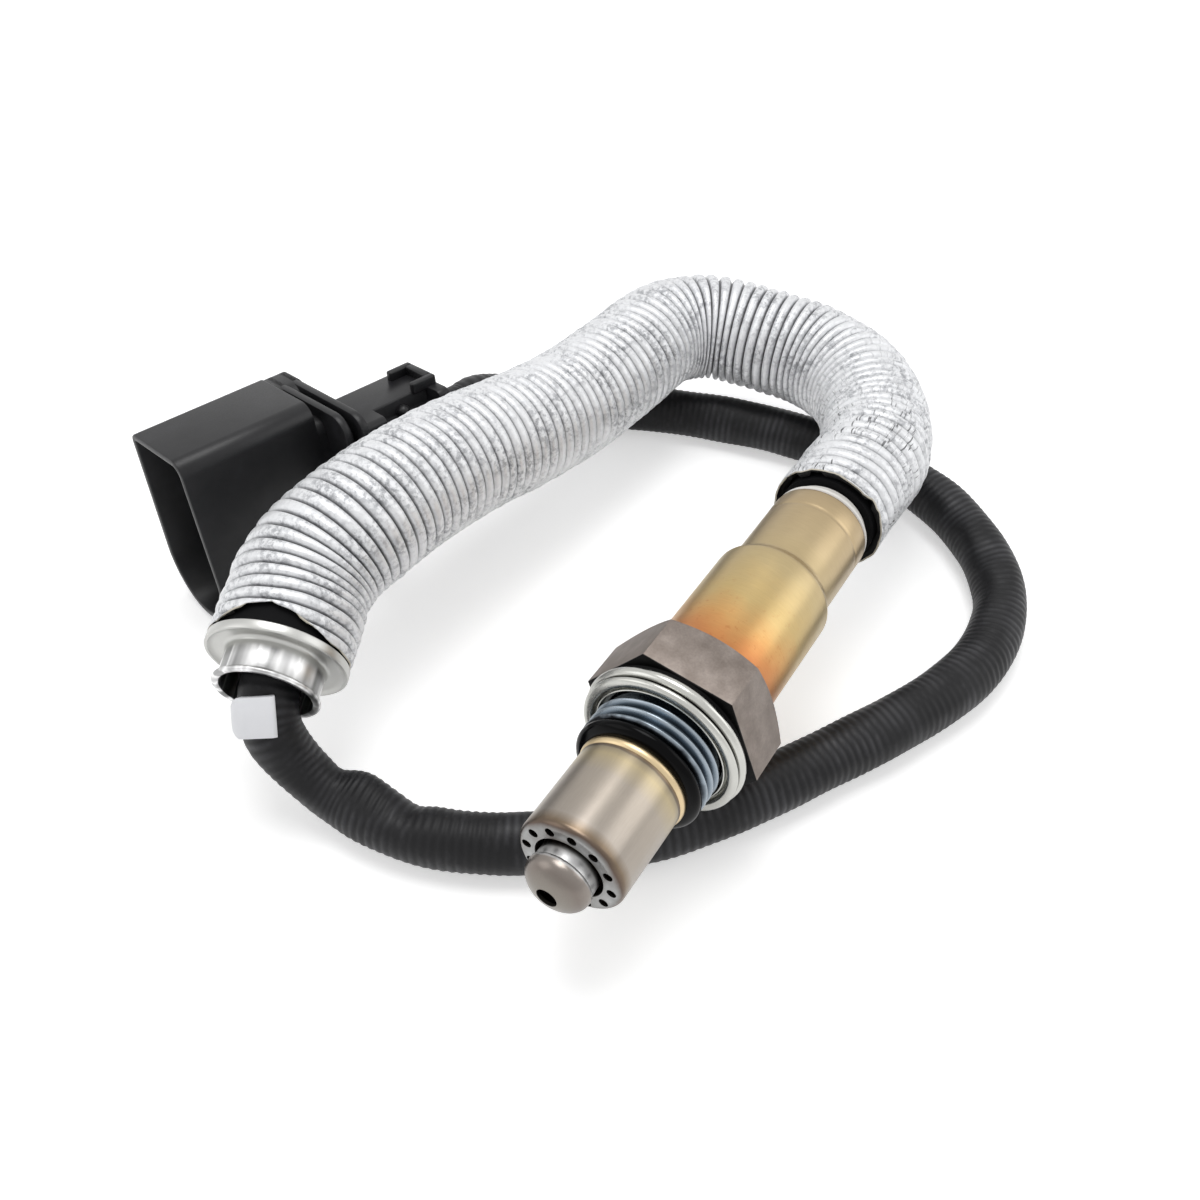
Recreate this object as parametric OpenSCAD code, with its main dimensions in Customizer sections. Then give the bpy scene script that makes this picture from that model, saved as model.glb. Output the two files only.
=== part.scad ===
// Wideband oxygen sensor: steel sensor body, corrugated foil heat shield hose,
// end ferrule and a sheathed cable that ends in a plug housing.
// Millimetres. The origin is on the sensor's axis in the plane of its sealing face,
// +X points to the tip that goes into the exhaust, +Z is up.

/* [Fixing] */
// Radius of the M18 thread
thread_r = 9; // [8:0.25:10]
// Length of the thread in front of the sealing face
thread_len = 4.9; // [4:0.1:12]
// Across flats of the hexagon
hex_af = 22; // [20:0.5:27]
// Thickness of the hexagon
hex_len = 8.7; // [6:0.1:12]
// Turn of the hexagon about the sensor's axis
hex_turn = 9.3; // [0:0.1:60]

/* [Gasket] */
// Outer radius of the folded crush gasket
gasket_r = 11.6; // [10:0.1:13]
// Thickness of the gasket
gasket_t = 3; // [2:0.1:4]

/* [Protection tubes] */
// Outer radius of the outer tube
tube_r = 7.3; // [7:0.05:8]
// How far the outer tube stands in front of the sealing face
tube_reach = 20.8; // [18:0.1:30]
// Wall of both tubes
tube_wall = 0.5; // [0.3:0.05:0.6]
// Radius of the inner tube's nose
nose_r = 4.4; // [3.5:0.05:4.8]
// Length of the nose in front of the outer tube, up to its dome
nose_len = 3; // [1:0.1:6]
// Height of the nose's dome
dome_h = 1.8; // [1:0.1:3]
// Radius of the hole in the dome
dome_hole_r = 1.4; // [0.5:0.05:1.8]
// Gas holes in the outer tube's face
gas_holes = 12; // [4:1:12]
// Radius of a gas hole
gas_hole_r = 0.65; // [0.3:0.05:0.7]

/* [Sleeve] */
// Outer radius of the sleeve's front part
sleeve_r = 8.9; // [8.6:0.05:10]
// Length of the sleeve's front part behind the hexagon
sleeve_len = 20.5; // [16:0.1:30]
// Outer radius of the sleeve's rear part
neck_r = 7.65; // [7:0.05:8]
// Length of the sleeve's rear part with its shoulder
neck_len = 16.7; // [12:0.1:24]
// Wall of the sleeve
sleeve_wall = 0.5; // [0.4:0.05:0.6]
// How far the white seal stands out of the sleeve
grommet_out = 2.7; // [1:0.1:4]

/* [Element] */
// Width of the ceramic element
element_w = 4.2; // [3:0.1:4.6]
// Thickness of the ceramic element
element_t = 1.3; // [0.8:0.1:1.6]
// Leads that leave the sensor
leads = 5; // [4:1:5]
// Radius of a lead
lead_r = 0.75; // [0.5:0.05:0.9]

/* [Heat shield hose] */
// Crest radius of the hose at the sensor
hose_r1 = 9; // [8.8:0.05:10]
// Crest radius of the hose at the ferrule
hose_r2 = 10.1; // [9.6:0.05:10.5]
// Depth of a corrugation
hose_depth = 0.8; // [0.4:0.05:1]
// Thickness of the foil wall under the corrugations
hose_wall = 0.5; // [0.3:0.05:0.8]
// Corrugation pitch at the sensor
pitch_1 = 1.75; // [1.6:0.05:3]
// Corrugation pitch at the ferrule
pitch_2 = 2.15; // [1.8:0.05:3]

/* [Ferrule] */
// Radius of the ferrule's flange
flange_r = 10; // [9.5:0.05:12]
// Thickness of the flange
flange_t = 1.3; // [0.8:0.1:3]
// Outer radius of the ferrule's neck
ferrule_r = 6.95; // [6.7:0.05:8]
// Length of the neck with its rim
ferrule_len = 6.2; // [4:0.1:10]
// Radius of the rim at the mouth
rim_r = 7.5; // [7.4:0.05:9]
// Wall of the ferrule
ferrule_wall = 0.5; // [0.3:0.05:0.8]

/* [Sheathed cable] */
// Outer diameter of the cable's sheath
cable_d = 8.6; // [7:0.1:8.6]

/* [Plug housing] */
// Width of the shroud
shroud_w = 16.8; // [16:0.1:20]
// Height of the shroud
shroud_h = 31.2; // [30:0.1:36]
// Length of the shroud in front of its flange
shroud_len = 22.8; // [21:0.1:28]
// Wall of the shroud
shroud_wall = 1.1; // [0.8:0.05:1.5]
// Depth of the shroud down to its floor
shroud_depth = 19; // [15:0.1:20]
// Width of the rear housing
rear_w = 13.3; // [12.5:0.1:16]
// Height of the rear housing
rear_h = 17.4; // [15:0.1:18]
// Length of the rear housing behind its flanges
rear_len = 21; // [20:0.1:26]
// Contact pins
pins = 6; // [4:1:6]
// Width of a square pin
pin_w = 0.9; // [0.6:0.05:1.2]

/* [Hidden] */
fine = 96;

// Running clearance between parts that are pushed together
fit = 0.05;

// Sensor body, along X from its sealing face
band_len = 1;
shoulder_x = thread_len + band_len;
weld_len = 0.9;
tube_x = shoulder_x + weld_len;
spigot_x = tube_x + 1.7;
tube_edge = 1;
tube_in = tube_r - tube_wall;
nose_hole_r = nose_r + 0.1;
gas_ring_r = (nose_hole_r + tube_r) / 2;
gas_turn = 24.6;
cup_r = tube_in - 1.5;
cup_taper = 1.5;
cup_end = tube_reach - 1.8;
nose_x = tube_reach + nose_len;
inlets = 6;
inlet_r = 0.6;

undercut_r = thread_r - 0.5;
seal_r = undercut_r - 2;
bore_r = seal_r - 1.5;
seat_x = -0.5;
hex_back = -gasket_t - hex_len;
hex_r = hex_af / 2 / cos(30);
hex_chamfer = 1.6;
washer_h = 0.4;
collar_r = sleeve_r - sleeve_wall - fit;
collar_x = hex_back - 4.3;

gasket_bore = undercut_r + 0.1;
gasket_lead = 0.6;
front_fold = 0.9;
fold_gap = 0.3;
fold_depth = 1.3;

powder_x = seat_x - 5.5;
rear_ceramic_x = powder_x - 4;
rear_ceramic_len = 7;
element_tip = tube_reach - 4.8;
element_end = rear_ceramic_x - 20;
slot_gap = 0.1;

shoulder_len = 2.6;
sleeve_back = hex_back - sleeve_len;
neck_back = sleeve_back - neck_len;
crimp_x = neck_back + 3.8;
crimp_w = 1.2;
crimp_depth = 0.3;
neck_in = neck_r - sleeve_wall;

grommet_x = neck_back + 6.5;
grommet_back = neck_back - grommet_out;
holder_x = rear_ceramic_x - rear_ceramic_len;
holder_back = neck_back + 7.9;
holder_r = neck_in - 0.1;
row_z = 2.4;
lead_pitch = 1.8;
barrel_r = 0.8;
barrel_x = holder_back + 4;
barrel_len = 3;
core_r = 0.4;
strip_t = 0.3;
strip_w = 1;
touch_x = element_end + 6;

// Heat shield hose: its torn mouth stands mouth_gap behind the seal, its route is given from route_x
mouth_gap = 0.4;
route_x = grommet_back - 2.9;
hose_route = [
  [-7, 0, 0], [-14.5, 0, -0.5], [-22, -2, -1.5], [-30, -6, -2.3], [-37, -12.5, -2.7], [-40.7, -22.2, -2.7],
  [-39.4, -33.2, -2.2], [-35.2, -43.3, -1.3], [-26.6, -47.8, -0.7], [-15, -48, -0.5], [-2, -49.8, -0.3],
  [10, -51.7, 1], [22, -53.6, 3.2], [34, -55, 4.6], [44, -55.9, 4.8], [51, -56.9, 3.7]];
hose_end = [63.6, -53.9, 0];
hose_sides = 20;
liner_gap = 0.35;
liner_rings = 44;
liner_sides = 16;

// Ferrule, along its own axis from the end of the hose
ferrule_turn = [0, 15.3, 21.4];
spigot_in = 3;
flange_x = 3.7;
hose_over = flange_x - 0.3;
dish = 0.5;
rim_t = 0.8;
ferrule_end = flange_x + ferrule_len;
spigot_r = hose_r2 - hose_depth - hose_wall - liner_gap;

// Plug housing, from the top of its mouth to the rear
plug_at = [-1.8, -87.1, 11.2];
plug_turn = [-8.5, 2.1, 165.4];
shroud_top_w = shroud_w - 1.4;
far_corner = 1.4;
near_corner = 2.6;
side_h = 21.5;
bow_steps = 18;
plate_t = 1.4;
slot_w = 0.9;
front_plate_x = shroud_len + 1.6;
flange_far = 10.4;
flange_top = -1.6;
flange_h = 20;
plate_corner = 3.5;
rear_plate_x = front_plate_x + plate_t + slot_w;
rear_x = rear_plate_x + plate_t;
rear_top = -8.2;
rear_end = rear_x + rear_len;
cable_z = rear_top - rear_h / 2;
collar_len = 2.4;
plug_end = rear_end + collar_len;
bay_wall = 1.5;
bay_w = rear_w - 2 * bay_wall;
bay_h = rear_h - 4 * bay_wall - 0.8;
bay_end = rear_end - 5;
carrier_len = 12;
lock_t = 1.5;
pin_pitch = 3.4;
pin_row = 4.2;
pin_reach = 11;
pin_tail = 3;
seal_len = 8;

// Sheathed cable: it leaves the ferrule, lies down and comes back into the plug housing
cable_r = cable_d / 2;
cable_sides = 12;
cable_rings = 76;
cable_route = [
  [17.4, -50.7, -3.5], [19.9, -48.6, -7.4], [20.3, -45.5, -11.6], [20.2, -41.8, -14.6], [19.7, -38, -16.1],
  [19.3, -33, -16.3], [18.3, -27, -16.3], [16.2, -21, -16.3], [12.8, -14.5, -16.3], [7.6, -7, -16.3],
  [1.6, 0, -16.3], [-5, 5.2, -16.3], [-13, 10.3, -16.3], [-22, 15.2, -16.3], [-32, 20.5, -16.3],
  [-42, 25, -16.3], [-51.5, 27.6, -16.3], [-60, 27.6, -16.3], [-68, 25.4, -16.3], [-75.5, 20.5, -16.3],
  [-82, 13.3, -16.3], [-86.5, 5, -16.3], [-89, -5, -16.3], [-89.3, -15, -16.3], [-88.4, -25, -16.3],
  [-86.3, -35, -16.3], [-83.5, -44, -16.3], [-80, -52, -16.1], [-75.5, -59.5, -15.2], [-69.5, -65, -13]];
clip_way = 15.7;
clip_roll = 6;

// Points of an arc about c, from one angle to another
function arc(c, r, from, to, n = 8) =
  [for (i = [0:n]) c + r * [cos(from + (to - from) * i / n), sin(from + (to - from) * i / n)]];
// The same for an ellipse with half axes a and b
function oval(c, a, b, from, to, n = 8) =
  [for (i = [0:n]) c + [a * cos(from + (to - from) * i / n), b * sin(from + (to - from) * i / n)]];
// The other way round
function back(list) = [for (i = [len(list) - 1:-1:0]) list[i]];
// Smooth step from 0 to 1
function ease(t) = (1 - cos(180 * t)) / 2;

// A point turned as rotate() turns it
function about_x(p, a) = [p[0], p[1] * cos(a) - p[2] * sin(a), p[1] * sin(a) + p[2] * cos(a)];
function about_y(p, a) = [p[0] * cos(a) + p[2] * sin(a), p[1], p[2] * cos(a) - p[0] * sin(a)];
function about_z(p, a) = [p[0] * cos(a) - p[1] * sin(a), p[0] * sin(a) + p[1] * cos(a), p[2]];
function turned_by(p, a) = about_z(about_y(about_x(p, a[0]), a[1]), a[2]);
function on_ferrule(x) = [route_x, 0, 0] + hose_end + turned_by([x, 0, 0], ferrule_turn);
function on_plug(p) = plug_at + turned_by(p, plug_turn);

// Smooth curve through a list of points: Catmull-Rom, per_span points for each span
function between(a, b, c, d, t) =
  (2 * b + (c - a) * t + (2 * a - 5 * b + 4 * c - d) * t * t + (3 * b - a - 3 * c + d) * t * t * t) / 2;
function curve(p, per_span = 6) = let (n = len(p) - 1) concat(
  [for (i = [0:n - 1], k = [0:per_span - 1])
    between(p[max(i - 1, 0)], p[i], p[i + 1], p[min(i + 2, n)], k / per_span)],
  [p[n]]);
// Way along a curve up to each of its points
function way(c) = [for (i = 0, s = 0; i < len(c); s = s + (i < len(c) - 1 ? norm(c[i + 1] - c[i]) : 0), i = i + 1) s];
// The point of a curve that lies a way s along it
function at(c, w, s) = [for (k = [0:2]) lookup(s, [for (i = [0:len(c) - 1]) [w[i], c[i][k]]])];
function unit(v) = v / norm(v);
// A ring of points about a curve, square to it
function ring(c, w, s, r, sides) = let (
  last = w[len(w) - 1],
  t = unit(at(c, w, min(s + 0.6, last)) - at(c, w, max(s - 0.6, 0))),
  u = unit(cross([0, 0, 1], t)),
  v = cross(t, u),
  p = at(c, w, s))
  [for (j = [0:sides - 1]) p + r * (cos(360 * j / sides) * u + sin(360 * j / sides) * v)];
// Closed tube wall between successive rings, each with the same number of sides
function walls(rings, sides) = [for (i = [0:rings - 2], j = [0:sides - 1], f = [0, 1])
  let (a = i * sides + j, b = i * sides + (j + 1) % sides)
  f == 0 ? [a, a + sides, b] : [b, a + sides, b + sides]];

module solid_sweep(rings, sides) {
  n = len(rings);
  polyhedron(
    points = [for (r = rings) each r],
    faces = concat(walls(n, sides), [[for (j = [0:sides - 1]) j]],
      [[for (j = [sides - 1:-1:0]) (n - 1) * sides + j]]));
}

// Turns a profile of [x, r] points about X
module turned(profile) {
  rotate([0, 90, 0]) rotate_extrude($fn = fine) polygon([for (p = profile) [p[1], p[0]]]);
}

// A round bar or hole along X
module bar(x, len, r, y = 0, z = 0, sides = 32) {
  translate([x, y, z]) rotate([0, 90, 0]) cylinder(r = r, h = len, $fn = sides);
}

// A block along X, centred in width and height
module block(x, len, w, h, y = 0, z = 0) {
  translate([x, y - w / 2, z - h / 2]) cube([len, w, h]);
}

// A flat outline given as [y, z] points, drawn out along X
module drawn(x, len, outline) {
  translate([x, 0, 0]) rotate([90, 0, 90]) linear_extrude(len) polygon(outline);
}

function rounded(w, h, r, y = 0, z = 0) = concat(
  arc([y + w / 2 - r, z + h / 2 - r], r, 90, 0), arc([y + w / 2 - r, z - h / 2 + r], r, 0, -90),
  arc([y - w / 2 + r, z - h / 2 + r], r, -90, -180), arc([y - w / 2 + r, z + h / 2 - r], r, 180, 90));

module outer_tube() {
  edge = [tube_reach - tube_edge, tube_r - tube_edge];
  color("gray") difference() {
    turned(concat(
      [[tube_x, tube_in], [tube_x, tube_r]],
      arc(edge, tube_edge, 90, 0),
      [[tube_reach, nose_hole_r], [tube_reach - tube_wall, nose_hole_r]],
      arc(edge, tube_edge - tube_wall, 0, 90)));
    for (i = [0:gas_holes - 1])
      rotate([gas_turn + 360 / gas_holes * i, 0, 0])
        bar(tube_reach - 3 * tube_wall, 4 * tube_wall, gas_hole_r, gas_ring_r, 0, 24);
  }
}

module inner_tube() {
  outer_turn = acos(dome_hole_r / nose_r);
  inner_turn = acos(dome_hole_r / (nose_r - tube_wall));
  color("silver") difference() {
    turned(concat(
      [[spigot_x, cup_r - tube_wall], [spigot_x, tube_in - fit], [spigot_x + tube_wall, tube_in - fit],
       [spigot_x + tube_wall, cup_r], [cup_end - cup_taper, cup_r], [cup_end, nose_r]],
      oval([nose_x, 0], dome_h, nose_r, 90, 90 - outer_turn, 10),
      back(oval([nose_x, 0], dome_h - tube_wall, nose_r - tube_wall, 90, 90 - inner_turn, 10)),
      [[cup_end, nose_r - tube_wall], [cup_end - cup_taper, cup_r - tube_wall]]));
    for (i = [0:inlets - 1])
      rotate([360 / inlets * i, 0, 0])
        translate([(spigot_x + cup_end) / 2, 0, 0]) cylinder(r = inlet_r, h = cup_r + 1, $fn = 24);
  }
}

module housing() {
  step_x = -gasket_t - hex_len / 2;
  shank = concat(
    [[spigot_x, bore_r], [spigot_x, tube_in - fit], [tube_x, tube_in - fit], [tube_x, tube_r],
     [shoulder_x, tube_r]],
    oval([thread_len, tube_r + 0.3], band_len, thread_r - tube_r - 0.3, 0, 90, 6),
    [[0, thread_r], [-0.3, undercut_r], [step_x, undercut_r]]);
  rear = [[step_x - 1, collar_r], [collar_x, collar_r], [collar_x, seal_r], [seat_x, seal_r], [seat_x, bore_r]];
  hex = [[-gasket_t, 0], [-gasket_t, hex_af / 2 - 0.3], [-gasket_t - washer_h, hex_af / 2 - 0.1],
    [-gasket_t - washer_h - 0.3, hex_r + 1], [hex_back + hex_chamfer, hex_r + 1], [hex_back, hex_af / 2 - 0.2],
    [hex_back, 0]];
  color("dimgray") {
    turned(concat(shank, rear));
    difference() {
      intersection() {
        rotate([-hex_turn, 0, 0]) rotate([0, 90, 0]) rotate([0, 0, 90])
          translate([0, 0, hex_back]) cylinder(r = hex_r, h = hex_len, $fn = 6);
        turned(hex);
      }
      bar(hex_back - 1, hex_len + 2, undercut_r - 0.5, sides = fine);
    }
  }
}

module gasket() {
  rear_fold = gasket_t - front_fold - fold_gap;
  front_r = front_fold / 2;
  rear_r = rear_fold / 2;
  color("lightgray") turned(concat(
    [[-gasket_lead, gasket_bore], [0, gasket_bore + gasket_lead]],
    arc([-front_r, gasket_r - front_r], front_r, 0, 180),
    [[-front_fold, gasket_r - fold_depth], [-front_fold - fold_gap, gasket_r - fold_depth]],
    arc([-gasket_t + rear_r, gasket_r - rear_r], rear_r, 0, 180),
    [[-gasket_t, gasket_bore]]));
}

module element() {
  color("white") block(element_end, element_tip - element_end, element_w, element_t);
}

// A pressed disc with the element's slot through it
module disc(x, len, r, tone) {
  color(tone) difference() {
    turned([[x, 0], [x, r - 0.4], [x - 0.4, r], [x - len + 0.4, r], [x - len, r - 0.4], [x - len, 0]]);
    block(x - len - 1, len + 2, element_w + 2 * slot_gap, element_t + 2 * slot_gap);
  }
}

module front_ceramic() { disc(seat_x, seat_x - powder_x, seal_r - fit, "ivory"); }

module powder_seal() { disc(powder_x, powder_x - rear_ceramic_x, seal_r - fit, "lightgray"); }

module rear_ceramic() { disc(rear_ceramic_x, rear_ceramic_len, seal_r - fit, "ivory"); }

// Outer radius of the sleeve's rear part where it is crimped onto the seal
function crimp(u) = crimp_depth * (1 + cos(360 * u)) / 2;

module sleeve() {
  steps = 8;
  shoulder = [for (i = [0:steps]) [sleeve_back - shoulder_len * i / steps,
    sleeve_r - (sleeve_r - neck_r) * ease(i / steps)]];
  groove = [for (i = [-4:4]) [crimp_x - crimp_w * i / 8, neck_r - crimp(i / 8)]];
  outside = concat([[hex_back, sleeve_r]], shoulder, groove, [[neck_back, neck_r]]);
  color("tan") turned(concat(outside, back([for (p = outside) p - [0, sleeve_wall]])));
}

module contact_holder() {
  color("ivory") difference() {
    turned([[holder_x, 0], [holder_x, holder_r - 0.4], [holder_x - 0.4, holder_r],
      [holder_back, holder_r], [holder_back, 0]]);
    block(holder_back - 1, holder_x - holder_back + 2, lead_pitch * 2 + 2 * barrel_r + 0.2,
      2 * (row_z + barrel_r + 0.1));
  }
}

// Side of the element and place across it of each lead and its contact: three above, two below
function lead_side(i) = i <= 3 ? 1 : -1;
function lead_y(i) = i <= 3 ? (i - 2) * lead_pitch : (i - 4.5) * lead_pitch;

module contact(i) {
  low = element_t / 2 + fit;
  front_x = touch_x + 3;
  spring = [[front_x, low + 0.9], [touch_x + 1, low], [touch_x - 1, low], [barrel_x + 4, row_z - strip_t / 2],
    [barrel_x - 0.5, row_z - strip_t / 2]];
  color("gold") mirror([0, 0, lead_side(i) > 0 ? 0 : 1]) translate([0, lead_y(i), 0]) {
    translate([0, strip_w / 2, 0]) rotate([90, 0, 0]) linear_extrude(strip_w)
      polygon(concat(spring, back([for (p = spring) p + [0, strip_t]])));
    difference() {
      bar(barrel_x - barrel_len, barrel_len, barrel_r, 0, row_z);
      bar(barrel_x - barrel_len - 1, barrel_len, core_r + fit, 0, row_z);
    }
  }
}

module lead(i) {
  z = row_z * lead_side(i);
  color("white") {
    bar(grommet_back, barrel_x - barrel_len - 0.2 - grommet_back, lead_r, lead_y(i), z);
    bar(barrel_x - barrel_len - 0.5, barrel_len - 1, core_r, lead_y(i), z, 24);
  }
}

module grommet() {
  r = neck_in - fit;
  groove = [for (i = [-4:4]) [crimp_x - crimp_w * i / 8, r - crimp(i / 8)]];
  color("white") difference() {
    turned(concat([[grommet_x, 0], [grommet_x, r]], groove,
      [[grommet_back + 0.4, r], [grommet_back, r - 0.4], [grommet_back, 0]]));
    for (i = [1:leads])
      bar(grommet_back - 1, grommet_x - grommet_back + 2, lead_r + fit, lead_y(i), row_z * lead_side(i));
  }
}

// The hose's middle line, from the sensor's seal to the end of the hose in front of the ferrule
hose_line = curve(concat(
  [[grommet_back, 0, 0], [route_x, 0, 0]],
  [for (p = hose_route) p + [route_x, 0, 0]],
  [for (x = [-spigot_in - 5, -spigot_in - 2.5, -spigot_in, 0, hose_over]) on_ferrule(x)]));
hose_way = way(hose_line);
hose_stop = hose_way[len(hose_way) - 1];
hose_len = hose_stop - mouth_gap;
turns = floor(2 * hose_len / (pitch_1 + pitch_2));
pitch_gain = (pitch_2 - pitch_1) / 2;

// Way along the hose after n of its corrugations, which grow from pitch_1 to pitch_2
function turn_way(n) = mouth_gap + hose_len * (pitch_1 * n + pitch_gain * n * n / turns)
  / (pitch_1 * turns + pitch_gain * turns);
function hose_r(s) = hose_r1 + (hose_r2 - hose_r1) * (s - mouth_gap) / hose_len;

module heat_shield_hose() {
  outside = [for (i = [0:2 * turns]) let (s = turn_way(i / 2))
    ring(hose_line, hose_way, s, hose_r(s) - (i % 2 == 0 ? hose_depth : 0), hose_sides)];
  inside = [for (i = [liner_rings:-1:0]) let (s = mouth_gap + hose_len * i / liner_rings)
    ring(hose_line, hose_way, s, hose_r(s) - hose_depth - hose_wall, hose_sides)];
  rings = concat(outside, inside);
  n = len(rings);
  color("silver") polyhedron(
    points = [for (r = rings) each r],
    faces = concat(walls(n, hose_sides), [for (j = [0:hose_sides - 1], f = [0, 1])
      let (k = (j + 1) % hose_sides, a = (n - 1) * hose_sides)
      f == 0 ? [a + j, j, a + k] : [a + k, j, k]]));
}

module hose_liner() {
  stop = hose_stop - hose_over - spigot_in;
  color([0.12, 0.12, 0.13]) solid_sweep([for (i = [0:liner_rings]) let (s = stop * i / liner_rings)
    ring(hose_line, hose_way, s, hose_r(max(s, mouth_gap)) - hose_depth - hose_wall - liner_gap, liner_sides)],
    liner_sides);
}

module ferrule() {
  neck_x = flange_x + flange_t;
  bore = ferrule_r - ferrule_wall;
  color("silver") translate(on_ferrule(0)) rotate(ferrule_turn) turned(concat(
    [[-spigot_in, bore], [-spigot_in, spigot_r], [flange_x, spigot_r], [flange_x, flange_r - 0.3],
     [flange_x + 0.3, flange_r], [neck_x - 0.3, flange_r], [neck_x, flange_r - 0.3],
     [neck_x, flange_r - 0.9], [neck_x - dish, flange_r - 1.4], [neck_x - dish, ferrule_r + 0.8]],
    arc([neck_x - dish + 0.8, ferrule_r + 0.8], 0.8, 180, 270),
    [[ferrule_end - rim_t - 0.6, ferrule_r]],
    arc([ferrule_end - rim_t / 2, rim_r - rim_t / 2], rim_t / 2, 180, 0),
    [[ferrule_end, bore + 0.2], [ferrule_end - 0.3, bore]]));
}

cable_line = curve(concat(
  [for (x = [-spigot_in, 0, flange_x]) on_ferrule(x)],
  cable_route,
  [for (x = [9, 4, 0]) on_plug([plug_end + x, 0, cable_z])]), 5);
cable_way = way(cable_line);

module cable_sheath() {
  stop = cable_way[len(cable_way) - 1];
  color([0.15, 0.15, 0.16]) solid_sweep([for (i = [0:cable_rings - 1])
    ring(cable_line, cable_way, stop * i / (cable_rings - 1), cable_r, cable_sides)], cable_sides);
}

module cable_clip() {
  clip_len = 5.3;
  clip_w = 6.4;
  clip_h = 4;
  clip_gap = 0.8;
  rim = cable_r + 2.3;
  t = unit(at(cable_line, cable_way, clip_way + 3) - at(cable_line, cable_way, clip_way - 3));
  color("white") translate(at(cable_line, cable_way, clip_way))
    rotate([clip_roll, -asin(t[2]), atan2(t[1], t[0])]) difference() {
      drawn(-clip_len / 2, clip_len, rounded(clip_w, clip_h, 1.2, 0, rim - clip_h / 2));
      bar(-clip_len, 2 * clip_len, cable_r + clip_gap, sides = fine);
    }
}

// Outline of the shroud: flat top, sides that bow out a little and a deep round bottom
function shroud_outline(inset = 0) = concat(
  arc([shroud_top_w / 2 - far_corner, -far_corner], far_corner - inset, 90, 0),
  oval([0, -side_h], shroud_w / 2 - inset, shroud_h - side_h - inset, 0, -180, bow_steps),
  arc([near_corner - shroud_top_w / 2, -near_corner], near_corner - inset, 180, 90));

// Outline of a guide plate from its far end to a given reach on the near side
function flange_outline(reach) = concat(
  arc([flange_far - 1.5, flange_top - 1.5], 1.5, 90, 0, 4),
  arc([flange_far - 1.5, flange_top - flange_h + 1.5], 1.5, 0, -90, 4),
  arc([1 - reach, flange_top - flange_h + 1], 1, -90, -180, 4),
  arc([plate_corner - reach, flange_top - plate_corner], plate_corner, 180, 90, 6));

module on_plug() { translate(plug_at) rotate(plug_turn) children(); }

module plug_shell() {
  color([0.14, 0.14, 0.15]) on_plug() {
    difference() {
      union() {
        drawn(0, shroud_len, shroud_outline());
        // Guide flange: two plates with a slot between them that is closed at the far end
        drawn(front_plate_x, plate_t, flange_outline(13.2));
        drawn(shroud_len, rear_x - shroud_len, rounded(shroud_w - 2, flange_h, 2, 0, -3.5 - flange_h / 2));
        drawn(front_plate_x, rear_x - front_plate_x, flange_outline(-1.5));
        drawn(rear_plate_x, plate_t, flange_outline(14.8));
        // Rear housing, its collar for the cable and its ribs
        drawn(rear_x, rear_len, rounded(rear_w, rear_h, 1.2, 0, cable_z));
        translate([0, 0, cable_z])
          turned([[rear_end, 0], [rear_end, 6], [plug_end, cable_r + 0.9], [plug_end, 0]]);
        clip_loop();
      }
      drawn(-1, shroud_depth + 1, shroud_outline(shroud_wall));
      block(shroud_depth - 1, bay_end - shroud_depth + 1, bay_w, bay_h, 0, cable_z);
      // Recess along the housing's near upper edge
      translate([rear_x + 8, -rear_w / 2 - 1, rear_top - 2.8]) cube([10.8, 5, 5]);
    }
    // Latch bump in the recess, and keying ribs inside the shroud
    bar(rear_x + 12, 2.6, 0.9, -rear_w / 2 + 3.2, rear_top - 2);
    for (z = [-8, -19])
      block(3, shroud_depth - 2.5, 1.4, 1.2, 1 - shroud_w / 2 + shroud_wall / 2, z);
  }
}

// Raised U shaped loop on the rear housing
module clip_loop() {
  translate([rear_end - 5, -3.3, rear_top - 0.5]) {
    cube([4.8, 1.3, 2.1]);
    translate([0, 6.6, 0]) cube([4.8, 1.3, 2.1]);
    translate([3.3, 0, 0]) cube([1.5, 7.9, 2.1]);
  }
}

function pin_y(i) = ((i - 1) % 3 - 1) * pin_pitch;
function pin_z(i) = cable_z + (i <= 3 ? pin_row / 2 : -pin_row / 2);

// Holes for the pins through a block in the plug housing
module pin_holes(x, len) {
  for (i = [1:pins])
    block(x, len, pin_w + 2 * fit, pin_w + 2 * fit, pin_y(i), pin_z(i));
}

module pin_carrier() {
  color("dimgray") on_plug() difference() {
    block(shroud_depth, carrier_len, bay_w - 4 * fit, bay_h - 4 * fit, 0, cable_z);
    pin_holes(shroud_depth - 1, carrier_len + 2);
  }
}

module secondary_lock() {
  color("purple") on_plug() difference() {
    block(shroud_depth - lock_t, lock_t, bay_w + 1.6, bay_h + 1.6, 0, cable_z);
    pin_holes(shroud_depth - lock_t - 1, lock_t + 2);
  }
}

module pin(i) {
  tip = 0.8;
  start = shroud_depth - pin_reach;
  color("gold") on_plug() {
    block(start + tip, pin_reach + carrier_len + pin_tail - tip, pin_w, pin_w, pin_y(i), pin_z(i));
    block(start, tip, pin_w / 2, pin_w / 2, pin_y(i), pin_z(i));
  }
}

module wire_seal() {
  color("steelblue") on_plug()
    drawn(bay_end - seal_len, seal_len, rounded(bay_w - 4 * fit, bay_h - 4 * fit, 1, 0, cable_z));
}

module trim_resistor() {
  color("green") on_plug()
    block(shroud_depth + carrier_len, 1.2, 6, 2.4, 0, cable_z);
}

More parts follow.
